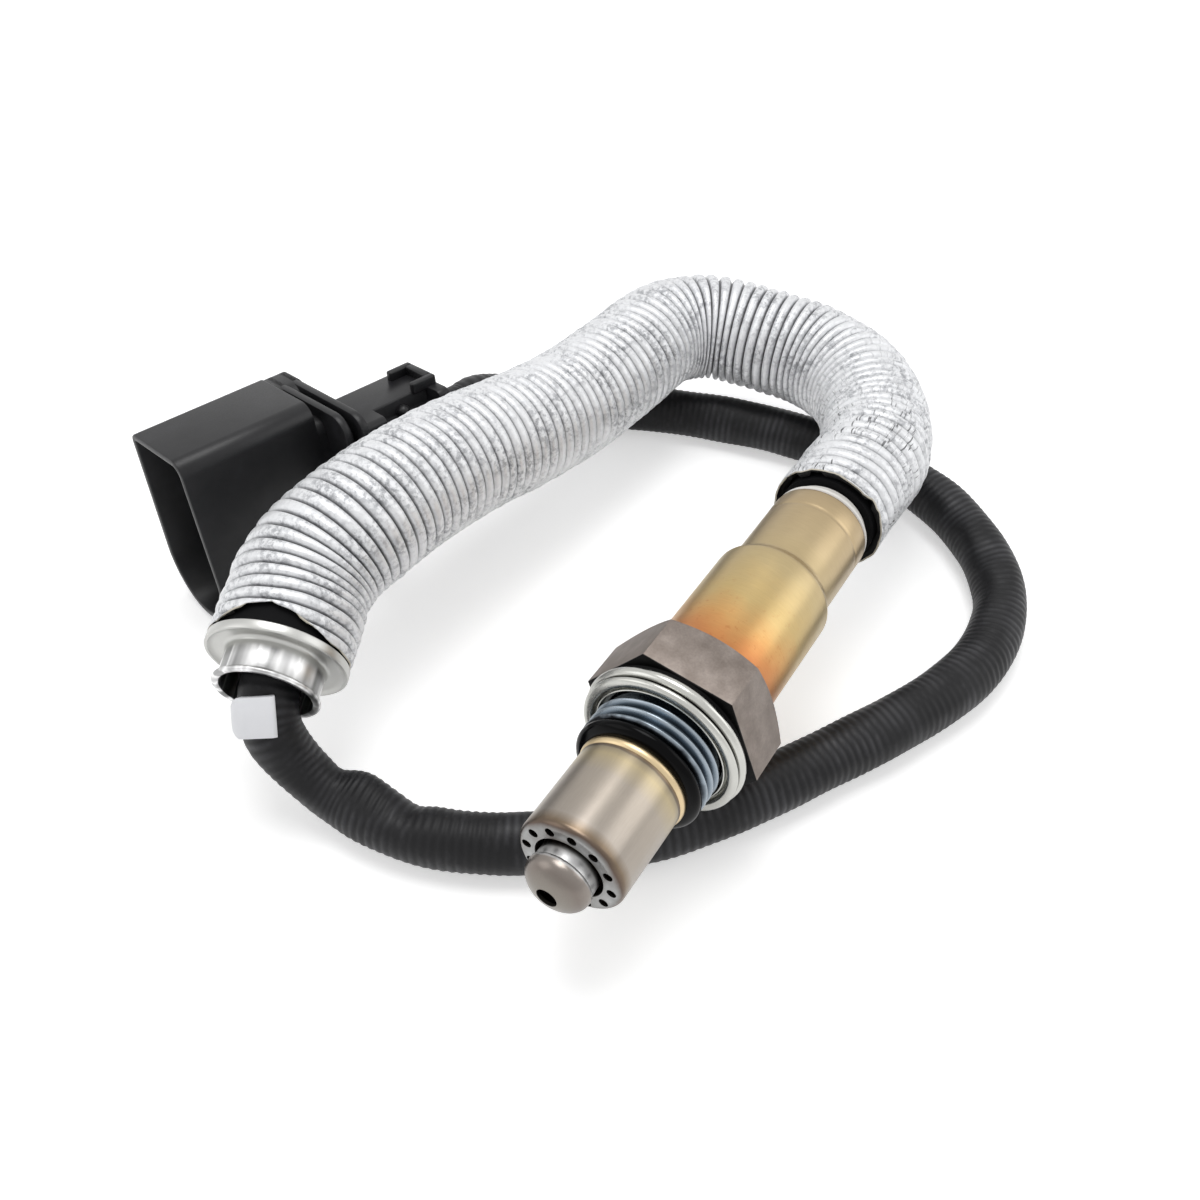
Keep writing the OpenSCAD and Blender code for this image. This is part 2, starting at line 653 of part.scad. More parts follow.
outer_tube();
inner_tube();
housing();
gasket();
element();
front_ceramic();
powder_seal();
rear_ceramic();
sleeve();
contact_holder();
for (i = [1:leads]) contact(i);
grommet();
for (i = [1:leads]) lead(i);
hose_liner();
heat_shield_hose();
ferrule();
cable_sheath();
cable_clip();
plug_shell();
pin_carrier();
for (i = [1:pins]) pin(i);
secondary_lock();
wire_seal();
trim_resistor();
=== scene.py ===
import math

import bmesh
import bpy
import numpy as np
from mathutils import Euler, Matrix, Vector, noise


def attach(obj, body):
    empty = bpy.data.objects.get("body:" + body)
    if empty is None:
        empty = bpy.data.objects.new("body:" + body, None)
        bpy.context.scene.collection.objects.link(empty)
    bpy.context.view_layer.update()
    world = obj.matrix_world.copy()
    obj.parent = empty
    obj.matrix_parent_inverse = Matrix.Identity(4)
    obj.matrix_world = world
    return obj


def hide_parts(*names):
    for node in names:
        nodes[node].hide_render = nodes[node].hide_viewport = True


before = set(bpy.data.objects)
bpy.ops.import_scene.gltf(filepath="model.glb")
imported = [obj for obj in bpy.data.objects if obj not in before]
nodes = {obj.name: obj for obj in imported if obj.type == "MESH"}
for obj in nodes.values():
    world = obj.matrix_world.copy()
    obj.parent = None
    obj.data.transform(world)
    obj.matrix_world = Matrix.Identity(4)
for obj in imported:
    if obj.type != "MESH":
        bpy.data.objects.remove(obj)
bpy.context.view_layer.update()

mm = 0.001


# The photo's camera, and where the hose, ferrule and plug housing lie

cameraView = {
    "place": (0.08767, 0.04556, 0.12445),
    "right": (-0.5247, 0.8513, 0.0),
    "up": (-0.5998, -0.3697, 0.7097),
    "lens": 37.23,  # mm, as is the sensor's width
    "sensorWidth": 36,
    "clipStart": 0.005,
}

bpy.ops.object.camera_add()
camera = bpy.context.object
right = Vector(cameraView["right"]).normalized()
up = Vector(cameraView["up"])
up = (up - up.dot(right) * right).normalized()
turn = Matrix((right, up, right.cross(up))).transposed()
camera.matrix_world = Matrix.Translation(cameraView["place"]) @ turn.to_4x4()
camera.data.lens = cameraView["lens"]
camera.data.sensor_width = cameraView["sensorWidth"]
camera.data.clip_start = cameraView["clipStart"]
bpy.context.scene.camera = camera
print("camera set")

routeStart = Vector((-54.5, 0, 0)) * mm  # the hose's route starts here, on the sensor's axis
ferruleSpot = routeStart + Vector((63.6, -53.9, 0)) * mm
ferruleTurn = Euler((0, math.radians(15.3), math.radians(21.4))).to_matrix()
plugSpot = Vector((-1.8, -87.1, 11.2)) * mm
plugTurn = Euler([math.radians(a) for a in (-8.5, 2.1, 165.4)]).to_matrix()
ferrulePlace = Matrix.Translation(ferruleSpot) @ ferruleTurn.to_4x4()
plugPlace = Matrix.Translation(plugSpot) @ plugTurn.to_4x4()


def onFerrule(x):
    return ferruleSpot + ferruleTurn @ Vector((x * mm, 0, 0))


def onPlug(x, y, z):
    return plugSpot + plugTurn @ (Vector((x, y, z)) * mm)


class Route:
    # A smooth line through route points, measured along its way

    def __init__(self, points, perSpan):
        p = [np.array(q, float) for q in points]
        last = len(p) - 1
        line = []
        for i in range(last):
            a, b, c, d = p[max(i - 1, 0)], p[i], p[i + 1], p[min(i + 2, last)]
            for k in range(perSpan):
                t = k / perSpan
                line.append((2 * b + (c - a) * t + (2 * a - 5 * b + 4 * c - d) * t * t
                             + (3 * b - a - 3 * c + d) * t ** 3) / 2)
        line.append(p[-1])
        self.line = np.array(line)
        steps = np.linalg.norm(np.diff(self.line, axis=0), axis=1)
        self.way = np.concatenate([[0], np.cumsum(steps)])
        self.length = self.way[-1]

    def at(self, s):
        return np.array([np.interp(s, self.way, self.line[:, k]) for k in range(3)])

    def frame(self, s, reach=0.6 * mm):
        t = self.at(min(s + reach, self.length)) - self.at(max(s - reach, 0))
        t = t / np.linalg.norm(t)
        side = np.cross([0, 0, 1], t)
        side = side / np.linalg.norm(side)
        return self.at(s), side, np.cross(t, side)


def hexColour(code):
    # An sRGB hex code as a linear colour
    parts = [int(code[i:i + 2], 16) / 255 for i in (1, 3, 5)]
    return tuple(v / 12.92 if v < 0.04045 else ((v + 0.055) / 1.055) ** 2.4 for v in parts) + (1.0,)


def addNode(tree, kind, settings=None, links=None):
    # One node with its settings and links; a number is the place of a socket
    node = tree.nodes.new(kind)
    for name, value in (settings or {}).items():
        if isinstance(name, int) or name in node.inputs:
            node.inputs[name].default_value = value
        else:
            setattr(node, name, value)
    for name, source in (links or {}).items():
        tree.links.new(source, node.inputs[name])
    return node


shaderSockets = {"colour": "Base Color", "metallic": "Metallic", "roughness": "Roughness",
                 "gloss": "Specular IOR Level"}


def newMaterial(name, **settings):
    # A setting whose socket is linked later is the plain value for programs that can't read the nodes
    material = bpy.data.materials.new(name)
    material.use_nodes = True
    tree = material.node_tree
    shader = tree.nodes["Principled BSDF"]
    for setting, value in settings.items():
        shader.inputs[shaderSockets[setting]].default_value = value
    place = addNode(tree, "ShaderNodeTexCoord").outputs["Object"]
    return material, tree, shader, place


def feed(tree, shader, **sources):
    for setting, source in sources.items():
        tree.links.new(source, shader.inputs[shaderSockets[setting]])


def noiseAt(tree, place, size, detail=3.0, roughness=0.55, stretch=None):
    # Noise whose grain is about size mm; stretch pulls it along an axis
    if stretch:
        place = addNode(tree, "ShaderNodeMapping", {"Scale": stretch}, {"Vector": place}).outputs[0]
    return addNode(tree, "ShaderNodeTexNoise",
                   {"Scale": 1 / (size * mm), "Detail": detail, "Roughness": roughness},
                   {"Vector": place}).outputs["Fac"]


def rampOf(tree, value, stops):
    # A ramp through stops, each a place with a hex colour or a grey
    node = addNode(tree, "ShaderNodeValToRGB", None, {"Fac": value})
    ramp = node.color_ramp.elements
    ramp.remove(ramp[1])
    for i, (spot, colour) in enumerate(stops):
        element = ramp.new(spot) if i else ramp[0]
        element.position = spot
        element.color = hexColour(colour) if isinstance(colour, str) else (colour, colour, colour, 1)
    return node.outputs["Color"]


def mathOf(tree, operation, a, b):
    return addNode(tree, "ShaderNodeMath", {"operation": operation}, {0: a, 1: b}).outputs[0]


def alongX(tree, place, low, high, wander=None):
    # 0 to 1 between two places on the sensor's axis, in mm
    x = addNode(tree, "ShaderNodeSeparateXYZ", None, {"Vector": place}).outputs["X"]
    if wander is not None:
        x = mathOf(tree, "ADD", x, wander)
    return addNode(tree, "ShaderNodeMapRange", {"From Min": low * mm, "From Max": high * mm},
                   {"Value": x}).outputs[0]


def mixed(tree, amount, a, b, mode="MIX"):
    # Two colours mixed; each is a hex code or a socket
    node = addNode(tree, "ShaderNodeMix", {"data_type": "RGBA", "blend_type": mode})
    for socket, value in ((0, amount), (6, a), (7, b)):
        if isinstance(value, bpy.types.NodeSocket):
            tree.links.new(value, node.inputs[socket])
        else:
            node.inputs[socket].default_value = hexColour(value) if isinstance(value, str) else value
    return node.outputs[2]


def scaled(tree, value, factor, offset=0.0):
    return addNode(tree, "ShaderNodeMath", {"operation": "MULTIPLY_ADD", 1: factor, 2: offset},
                   {0: value}).outputs[0]


def grained(tree, tone, grain, amount, dark):
    # A tone darkened where the grain is low
    shade = rampOf(tree, grain, [(0.3, dark), (0.7, "#ffffff")])
    return mixed(tree, amount, tone, shade, "MULTIPLY")


def bumpOf(tree, shader, height, distance, strength, below=None):
    # distance is in mm; below is a bump that this one lies on
    node = addNode(tree, "ShaderNodeBump", {"Distance": distance * mm, "Strength": strength},
                   {"Height": height})
    if below is not None:
        tree.links.new(below, node.inputs["Normal"])
    tree.links.new(node.outputs[0], shader.inputs["Normal"])
    return node.outputs[0]


def activate(piece):
    bpy.ops.object.select_all(action="DESELECT")
    piece.select_set(True)
    bpy.context.view_layer.objects.active = piece


def editMode(piece):
    activate(piece)
    bpy.ops.object.mode_set(mode="EDIT")


def objectMode():
    bpy.ops.object.mode_set(mode="OBJECT")


def named(piece, name):
    piece.name = name
    piece.data.name = name
    return piece


def settle(piece):
    # The object at the origin, with its place in its mesh
    bpy.context.view_layer.update()
    piece.data.transform(piece.matrix_world)
    piece.matrix_world = Matrix.Identity(4)


def finishPiece(piece, material, replaced=(), smooth=35):
    # Gives a piece its finish and its smooth shading, and hides the nodes that it stands for
    settle(piece)
    if material:
        piece.data.materials.clear()
        piece.data.materials.append(material)
    if smooth:
        activate(piece)
        bpy.ops.object.shade_smooth_by_angle(angle=math.radians(smooth))
    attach(piece, "root")
    if replaced:
        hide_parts(*replaced)
    return piece


def applyModifier(piece, kind, **settings):
    activate(piece)
    modifier = piece.modifiers.new(kind.lower(), kind)
    for name, value in settings.items():
        setattr(modifier, name, value)
    bpy.ops.object.modifier_apply(modifier=modifier.name)


def turnProfile(name, profile, steps=128):
    # A closed profile of (x, radius) in mm, drawn point by point and spun about X
    bpy.ops.mesh.primitive_plane_add(size=mm)
    piece = named(bpy.context.object, name)
    editMode(piece)
    bpy.ops.mesh.merge(type="CENTER")
    bm = bmesh.from_edit_mesh(piece.data)
    bm.verts[:][0].co = Vector((profile[0][0], 0, profile[0][1])) * mm
    bmesh.update_edit_mesh(piece.data)
    for (x0, r0), (x1, r1) in zip(profile, profile[1:]):
        bpy.ops.mesh.extrude_vertices_move(
            TRANSFORM_OT_translate={"value": ((x1 - x0) * mm, 0, (r1 - r0) * mm)})
    bm = bmesh.from_edit_mesh(piece.data)
    ends = [v for v in bm.verts if len(v.link_edges) == 1]
    bm.edges.new(ends)
    bmesh.update_edit_mesh(piece.data)
    bpy.ops.mesh.select_all(action="SELECT")
    bpy.ops.mesh.spin(steps=steps, angle=2 * math.pi, center=(0, 0, 0), axis=(1, 0, 0))
    bpy.ops.mesh.select_all(action="SELECT")
    bpy.ops.mesh.remove_doubles(threshold=0.002 * mm)
    bpy.ops.mesh.normals_make_consistent(inside=False)
    objectMode()
    return piece


def drawOutline(name, outline, x0, x1):
    # A flat outline of (y, z) in mm, drawn out along X from x0 to x1
    bpy.ops.mesh.primitive_circle_add(vertices=len(outline), radius=mm, fill_type="NGON")
    piece = named(bpy.context.object, name)
    for v, (y, z) in zip(piece.data.vertices, outline):
        v.co = Vector((x0, y, z)) * mm
    editMode(piece)
    bpy.ops.mesh.select_all(action="SELECT")
    bpy.ops.mesh.extrude_region_move(TRANSFORM_OT_translate={"value": ((x1 - x0) * mm, 0, 0)})
    bpy.ops.mesh.select_all(action="SELECT")
    bpy.ops.mesh.normals_make_consistent(inside=False)
    objectMode()
    return piece


def addBlock(name, low, high):
    # A block between two corners, in mm
    centre = [(a + b) / 2 * mm for a, b in zip(low, high)]
    size = [(b - a) * mm for a, b in zip(low, high)]
    bpy.ops.mesh.primitive_cube_add(size=1, location=centre, scale=size)
    piece = named(bpy.context.object, name)
    settle(piece)
    return piece


def addRod(sides, radius, length, centre=(0, 0, 0)):
    # A rod along X, in mm
    bpy.ops.mesh.primitive_cylinder_add(vertices=sides, radius=radius * mm, depth=length * mm,
                                        location=[v * mm for v in centre], rotation=(0, math.pi / 2, 0))
    piece = bpy.context.object
    settle(piece)
    return piece


def roundEdges(piece, width, segments=3, angle=30):
    applyModifier(piece, "BEVEL", width=width * mm, segments=segments, limit_method="ANGLE",
                  angle_limit=math.radians(angle))
    return piece


def arcPoints(centre, radius, start, end, count=8):
    # Points on an arc from one angle to another, in degrees
    step = (end - start) / count
    angles = [math.radians(start + step * i) for i in range(count + 1)]
    return [(centre[0] + radius * math.cos(a), centre[1] + radius * math.sin(a)) for a in angles]


def ovalPoints(centre, a, b, start, end, count=16):
    return [(centre[0] + a * x, centre[1] + b * y) for x, y in arcPoints((0, 0), 1, start, end, count)]


def joined(pieces, name):
    activate(pieces[0])
    for p in pieces[1:]:
        p.select_set(True)
    bpy.ops.object.join()
    return named(pieces[0], name)


def cutBy(piece, cutter, operation="DIFFERENCE"):
    applyModifier(piece, "BOOLEAN", operation=operation, object=cutter, solver="EXACT")
    bpy.data.objects.remove(cutter)


def meshOf(name, points, faces):
    mesh = bpy.data.meshes.new(name)
    mesh.from_pydata([tuple(p) for p in points], [], faces)
    piece = bpy.data.objects.new(name, mesh)
    bpy.context.scene.collection.objects.link(piece)
    return piece


def paintPoints(piece, name, values):
    # A value for each point, which a material can read by its name
    layer = piece.data.attributes.new(name, "FLOAT", "POINT")
    layer.data.foreach_set("value", np.array(values, np.float32))


def readPaint(tree, name):
    return addNode(tree, "ShaderNodeAttribute", {"attribute_name": name}).outputs["Fac"]


def tubeFaces(count, sides):
    # Quads between rings that run anticlockwise about the way, and a cap at each end
    faces = []
    for i in range(count):
        for j in range(sides):
            a, b = i * sides + j, i * sides + (j + 1) % sides
            faces.append((a, b, b + sides, a + sides))
    return faces + [tuple(reversed(range(sides))), tuple(count * sides + j for j in range(sides))]


cableLook = {
    "radius": 4.3,
    "floor": -20.6,  # the sheath is flat where it lies on the floor
    "sides": 48,
    "step": 0.2,  # mm between rings
    "ribPitch": 1.2,
    "ribHeight": 0.14,
    "swell": 0.22,
    "plainEnds": (12, 6),  # mm at either end over which ribs, swell and folds set in
    "route": [
        (17.4, -50.7, -3.5), (19.9, -48.6, -7.4), (20.3, -45.5, -11.6), (20.2, -41.8, -14.6),
        (19.7, -38, -16.1), (19.3, -33, -16.3), (18.3, -27, -16.3), (16.2, -21, -16.3), (12.8, -14.5, -16.3),
        (7.6, -7, -16.3), (1.6, 0, -16.3), (-5, 5.2, -16.3), (-13, 10.3, -16.3), (-22, 15.2, -16.3),
        (-32, 20.5, -16.3), (-42, 25, -16.3), (-51.5, 27.6, -16.3), (-60, 27.6, -16.3), (-68, 25.4, -16.3),
        (-75.5, 20.5, -16.3), (-82, 13.3, -16.3), (-86.5, 5, -16.3), (-89, -5, -16.3), (-89.3, -15, -16.3),
        (-88.4, -25, -16.3), (-86.3, -35, -16.3), (-83.5, -44, -16.3), (-80, -52, -16.1),
        (-75.5, -59.5, -15.2), (-69.5, -65, -13)],
    # each fold's way along the cable, angle round it, reach along, reach round and height
    "folds": [
        (34.5, 45, 4.3, 40, 1.25), (42.5, 60, 2.2, 50, -0.9), (29, 45, 2.0, 40, -0.5), (27, 200, 9, 55, -1.2),
        (150, 40, 4, 50, -0.4), (158, 60, 3, 30, -0.5), (163, 50, 3, 35, 0.4), (170, 70, 2.5, 30, -0.35),
        (60, 80, 4, 30, 0.3)],
}

plugEnd, cableHeight = 51.5, -16.9  # where the cable enters the plug housing, on the housing's own axes
cableRoute = Route([onFerrule(x) for x in (-3, 0, 3.7)]
                   + [Vector(p) * mm for p in cableLook["route"]]
                   + [onPlug(plugEnd + x, 0, cableHeight) for x in (9, 4, 0)], 5)


def makeCable():
    look = cableLook
    sides = look["sides"]
    startWay, endWay = look["plainEnds"]
    count = int(cableRoute.length / (look["step"] * mm))
    points, ribs = [], []
    for i in range(count + 1):
        s = cableRoute.length * i / count
        spot, side, above = cableRoute.frame(s)
        way = s / mm
        free = min(1, way / startWay) * min(1, (cableRoute.length / mm - way) / endWay)
        rib = 0.5 + 0.5 * math.cos(2 * math.pi * way / look["ribPitch"])
        # the ribs show more clearly in some stretches than in others
        shows = 0.25 + 0.75 * min(1, max(0, 1.6 * noise.noise(Vector((way / 11, 3, 0))) + 0.5))
        for j in range(sides):
            angle = 360 * j / sides
            a = math.radians(angle)
            r = look["radius"] - look["ribHeight"] * (1 - rib) * shows * free
            for at, towards, reach, spread, height in look["folds"]:
                off = (angle - towards + 180) % 360 - 180
                r += height * free * math.exp(-((way - at) / reach) ** 2 - (off / spread) ** 2)
            low = Vector((math.cos(a) * 1.3, math.sin(a) * 1.3, way / 9))
            r += look["swell"] * free * (noise.noise(low) - 0.2)
            p = spot + r * mm * (math.cos(a) * side + math.sin(a) * above)
            p[2] = max(p[2], look["floor"] * mm)
            points.append(p)
            ribs.append(rib)
    piece = meshOf("cableSheath", points, tubeFaces(count, sides))
    paintPoints(piece, "rib", ribs)
    return piece


def ribbedSheath():
    # Extruded PVC sleeving shrunk over a ribbed conduit: dull black, with painted grey highlights on the rib
    # tops in patches
    material, tree, shader, place = newMaterial("ribbedSheathBlack", roughness=0.45, gloss=0.25)
    patches = rampOf(tree, noiseAt(tree, place, 7, 4), [(0.44, 0.0), (0.64, 1.0)])
    # painted highlight: the rib tops are a lighter grey in patches
    ribHighlight = mathOf(tree, "MULTIPLY", readPaint(tree, "rib"), patches)
    feed(tree, shader, colour=mixed(tree, ribHighlight, "#151517", "#3a3a3d"),
         roughness=scaled(tree, ribHighlight, -0.12, 0.5))
    bumpOf(tree, shader, noiseAt(tree, place, 0.35, 2), 0.04, 0.5)
    return material


cable = makeCable()
finishPiece(cable, ribbedSheath(), ["cable_sheath"], smooth=60)
print("cable made,", round(cableRoute.length / mm), "mm long")


hoseLook = {
    "radius": (9.0, 10.1),  # at the sensor and at the ferrule
    "pitch": (2.05, 1.85),
    "depth": 0.75,
    "grooveWidth": 0.1,  # as a share of a turn
    "crown": 0.2,  # how far a turn falls off to its sides
    "bendCrown": 0.35,  # and how much more in the bend
    "bend": (0.33, 0.14),  # the bend's middle and reach, as shares of the length
    "unevenness": 0.12,
    "sides": 72,
    "samples": (0.0, 0.08, 0.2, 0.4, 0.6, 0.8, 0.92),  # where the rings lie in a turn
    "wall": 0.28,
    "reach": 4.5,  # way over which the rings' direction is averaged, in mm
    "end": 3.3,  # how far it runs over the ferrule's spigot
    "mouthTorn": (0.35, 1.1),  # how far the mouth is torn back, and how unevenly
    "ferruleTorn": 0.8,
    "bareAt": 84,  # angle round the hose at which the foil ends short of the ferrule, in degrees
    "bareReach": 2.3,
    "bareNarrow": 1.7,  # the bare wedge spans 180 degrees divided by this
    "wornWay": 30,  # the foil is worn over about this way from its mouth
    "route": [
        (-7, 0, 0), (-14.5, 0, -0.5), (-22, -2, -1.5), (-30, -6, -2.3), (-37, -12.5, -2.7),
        (-40.5, -21.5, -2.7), (-40.3, -29.5, -2.4), (-39.4, -36.6, -2.0), (-38.0, -40.9, -1.7),
        (-35.4, -44.5, -1.5), (-31.8, -46.9, -1.3), (-27.4, -48.1, -1.2), (-15.5, -49.0, -1.3),
        (-2.5, -50.2, -0.8), (10, -51.7, 1), (22, -53.6, 3.2), (34, -55, 4.6), (44, -55.9, 4.8),
        (51, -56.9, 3.7)],
}
sealBack = -51.6
hoseRoute = Route([Vector((sealBack, 0, 0)) * mm, routeStart]
                  + [routeStart + Vector(p) * mm for p in hoseLook["route"]]
                  + [onFerrule(x) for x in (-8, -5.5, -3, 0, hoseLook["end"])], 6)
hoseStart = 0.4 * mm  # the torn mouth stands this far behind the seal


def tornEdge(angle, seed, reach):
    # How far the foil is torn back, in mm, round the hose
    a = math.radians(angle)
    p = Vector((math.cos(a) * 1.6, math.sin(a) * 1.6, seed))
    return reach * (noise.noise(p) + 0.45 * noise.noise(p * 4) + 0.25 * noise.noise(p * 11))


def foilEnds(angle, length):
    # Where the foil begins and ends at an angle round the hose, in mm of its way
    look = hoseLook
    least, spread = look["mouthTorn"]
    first = max(0, least + tornEdge(angle, 3, spread))
    off = abs((angle - look["bareAt"] + 180) % 360 - 180)
    bare = math.cos(math.radians(min(90, off * look["bareNarrow"]))) ** 1.3
    torn = max(0, tornEdge(angle, 9, look["ferruleTorn"]) * (0.1 + bare))
    return first, length - look["bareReach"] * bare - torn


def makeHose(foil, cloth, tornRim):
    look = hoseLook
    sides, samples = look["sides"], look["samples"]
    length = (hoseRoute.length - hoseStart) / mm
    p1, p2 = look["pitch"]
    r1, r2 = look["radius"]
    turns = int(2 * length / (p1 + p2)) + 1
    gain = (p2 - p1) / 2

    def wayAt(n):
        # The way that n turns take up, as their pitch goes from p1 to p2
        return length * (p1 * n + gain * n * n / turns) / (p1 * turns + gain * turns)

    ends = [foilEnds(360 * j / sides, length) for j in range(sides)]
    middle, reach = look["bend"]
    rows = [k + f for k in range(-1, turns) for f in samples] + [turns]
    points, paint = [], []
    for n in rows:
        f = (n + 1) % 1
        inGroove = math.exp(-(min(f, 1 - f) / look["grooveWidth"]) ** 2)
        for j in range(sides):
            angle = 360 * j / sides
            a = math.radians(angle)
            first, last = ends[j]
            way = wayAt(max(n + j / sides, 0))
            inside = first < way < last
            way = min(max(way, first), last)
            spot, side, above = hoseRoute.frame(hoseStart + way * mm, look["reach"] * mm)
            share = way / length
            r = r1 + (r2 - r1) * share
            if inside:
                crest = 0.5 + noise.noise(Vector((n * 0.9, j / sides * 3, 5)))
                crown = look["crown"] + look["bendCrown"] * math.exp(-((share - middle) / reach) ** 2)
                r -= look["depth"] * inGroove + crown * (2 * f - 1) ** 2 + look["unevenness"] * crest
            else:
                r -= 0.15
            # it is dented more near its ends
            q = Vector((math.cos(a) * 2.2, math.sin(a) * 2.2, way / 4))
            near = math.exp(-(length - way) / 6) + 0.7 * math.exp(-way / 14)
            r += (0.09 + 0.16 * near) * noise.noise(q) + (0.05 + 0.1 * near) * noise.noise(q * 3.1)
            points.append(spot + r * mm * (math.cos(a) * side + math.sin(a) * above))
            worn = min(1, 1.2 * math.exp(-(way / look["wornWay"]) ** 2))
            # how deep in a groove each point lies, which the foil's material paints as shade
            paint.append((inGroove if inside else 0.0, worn, way, angle))
    # quads between the rings; at the seam each ring goes on as the next turn's ring
    faces = []
    per = len(samples)
    for i in range(len(rows) - 1):
        for j in range(sides):
            a, b = i * sides + j, (i + 1) * sides + j
            if j < sides - 1:
                faces.append((a, a + 1, b + 1, b))
            elif i + per + 1 < len(rows):
                faces.append((a, (i + per) * sides, (i + per + 1) * sides, b))
    piece = meshOf("foilHose", points, faces)
    for k, name in enumerate(("groove", "wear", "way", "round")):
        paintPoints(piece, name, [q[k] for q in paint])
    editMode(piece)
    bpy.ops.mesh.select_all(action="SELECT")
    bpy.ops.mesh.remove_doubles(threshold=0.01 * mm)
    bpy.ops.mesh.dissolve_degenerate(threshold=0.01 * mm)
    bpy.ops.mesh.normals_make_consistent(inside=False)
    objectMode()
    for m in (foil, cloth, tornRim):
        piece.data.materials.append(m)
    applyModifier(piece, "SOLIDIFY", thickness=look["wall"] * mm, offset=-1, use_even_offset=False,
                  material_offset=1, material_offset_rim=2)
    return piece


def crinkledFoil():
    # Aluminium foil laminated on glass cloth: white and crinkled, with painted shade in its grooves, and
    # slits near its mouth
    material, tree, shader, place = newMaterial("crinkledAluminiumFoil", metallic=0.35, roughness=0.42)
    creases = addNode(tree, "ShaderNodeTexVoronoi", {"feature": "DISTANCE_TO_EDGE", "Scale": 1 / (1.0 * mm)},
                      {"Vector": place}).outputs["Distance"]
    fine = noiseAt(tree, place, 0.8, 5, 0.65)
    coarse = noiseAt(tree, place, 5, 4, 0.6)
    crinkled = mathOf(tree, "MULTIPLY", rampOf(tree, coarse, [(0.4, 0.15), (0.6, 1.0)]),
                      rampOf(tree, fine, [(0.44, 0.0), (0.6, 1.0)]))
    tone = mixed(tree, scaled(tree, crinkled, 0.75), "#eeeff1", "#8c8e93")
    # painted shade: the grooves between the turns are darkened
    groove = rampOf(tree, readPaint(tree, "groove"), [(0.3, 0.0), (0.8, 1.0)])
    tone = mixed(tree, scaled(tree, groove, 0.9), tone, "#2b2c30")
    # slits run along the hose, so the pattern is laid on its way and the angle round it
    slitPlace = addNode(tree, "ShaderNodeCombineXYZ", None, {
        0: scaled(tree, readPaint(tree, "way"), 0.3),
        1: scaled(tree, readPaint(tree, "round"), 0.32)}).outputs[0]
    slits = addNode(tree, "ShaderNodeTexNoise", {"Scale": 1.0, "Detail": 2.0, "Roughness": 0.6},
                    {"Vector": slitPlace}).outputs["Fac"]
    patches = rampOf(tree, noiseAt(tree, place, 9, 2), [(0.48, 0.0), (0.56, 1.0)])
    torn = mathOf(tree, "MULTIPLY", rampOf(tree, slits, [(0.58, 0.0), (0.65, 1.0)]), readPaint(tree, "wear"))
    torn = mathOf(tree, "MULTIPLY", torn, patches)
    feed(tree, shader, colour=mixed(tree, torn, tone, "#3c3d40"), roughness=scaled(tree, coarse, 0.2, 0.32))
    creased = bumpOf(tree, shader, creases, 0.1, 0.45)
    bumpOf(tree, shader, fine, 0.16, 0.6, creased)
    return material


foil = crinkledFoil()
# black glass cloth, seen inside the foil
blackCloth = newMaterial("blackGlassCloth", colour=hexColour("#0c0b0c"), roughness=0.85)[0]
# raw glass cloth, seen where the foil is torn
tornCloth = newMaterial("rawGlassClothEdge", colour=hexColour("#cfc9ba"), roughness=0.7)[0]
hose = makeHose(foil, blackCloth, tornCloth)
finishPiece(hose, None, ["heat_shield_hose"], smooth=0)
for face in hose.data.polygons:
    face.use_smooth = True
print("hose made")


sensorLook = {
    "noseFront": 22.9,
    "noseOutside": (2.7, 4.4),  # the dome's length and radius
    "noseInside": (2.2, 3.9),
    "noseHole": 1.4,
    "tubeFront": 20.8,
    "tubeRadius": 7.3,
    "gasHoles": 12,
    "gasHoleTurn": 24.6,
    "gasHoleRadius": 0.65,
    "gasRing": 5.9,
    "threadPitch": 1.5,
    "threadCrest": 9.0,
    "threadRoot": 8.1,
    "threadBack": -0.35,
    "threadLength": 5.0,
    "threadRings": 70,
    "hexFlats": 22.0,
    "hexTurn": 9.3,
    "hexFront": -3.0,
    "hexBack": -11.7,
}


def makeTubes():
    look = sensorLook
    front, r = look["tubeFront"], look["tubeRadius"]
    profile = ([(6.9, r - 0.5), (6.9, r - 0.12), (7.02, r)]
               + [(x, r) for x in (9, 12, 15, 18)]
               + arcPoints((front - 1.0, r - 1.0), 1.0, 90, 0, 8)
               + [(front, 5.3), (front - 0.05, 4.78), (front - 0.2, 4.7), (front - 0.5, 4.7)]
               + [(front - 0.5, r - 1.3)]
               + arcPoints((front - 1.0, r - 1.0), 0.5, 0, 90, 5))
    tube = turnProfile("outerTube", profile)
    holes = []
    for i in range(look["gasHoles"]):
        a = math.radians(look["gasHoleTurn"] + 30 * i)
        y, z = look["gasRing"] * math.cos(a), look["gasRing"] * math.sin(a)
        holes.append(addRod(24, look["gasHoleRadius"], 3, (front, y, z)))
    cutBy(tube, joined(holes, "gasHoleCutter"))

    def rimAngle(radius):
        # The angle at which the dome of that radius ends at its hole
        return 90 - math.degrees(math.acos(look["noseHole"] / radius))

    centre = (look["noseFront"], 0)
    (long, wide), (innerLong, innerWide) = look["noseOutside"], look["noseInside"]
    nose = turnProfile("innerTube", [
        (8.6, 4.8), (8.6, 6.75), (9.1, 6.75), (9.1, 5.3), (17.5, 5.3), (19, 4.4), (20.2, 4.1), (22.3, 4.15),
        (22.45, 4.35), (22.6, 4.4)]
        + ovalPoints(centre, long, wide, 90, rimAngle(wide), 14)
        + ovalPoints(centre, innerLong, innerWide, rimAngle(innerWide), 90, 10)
        + [(19, 3.9), (17.5, 4.8)])
    return tube, nose


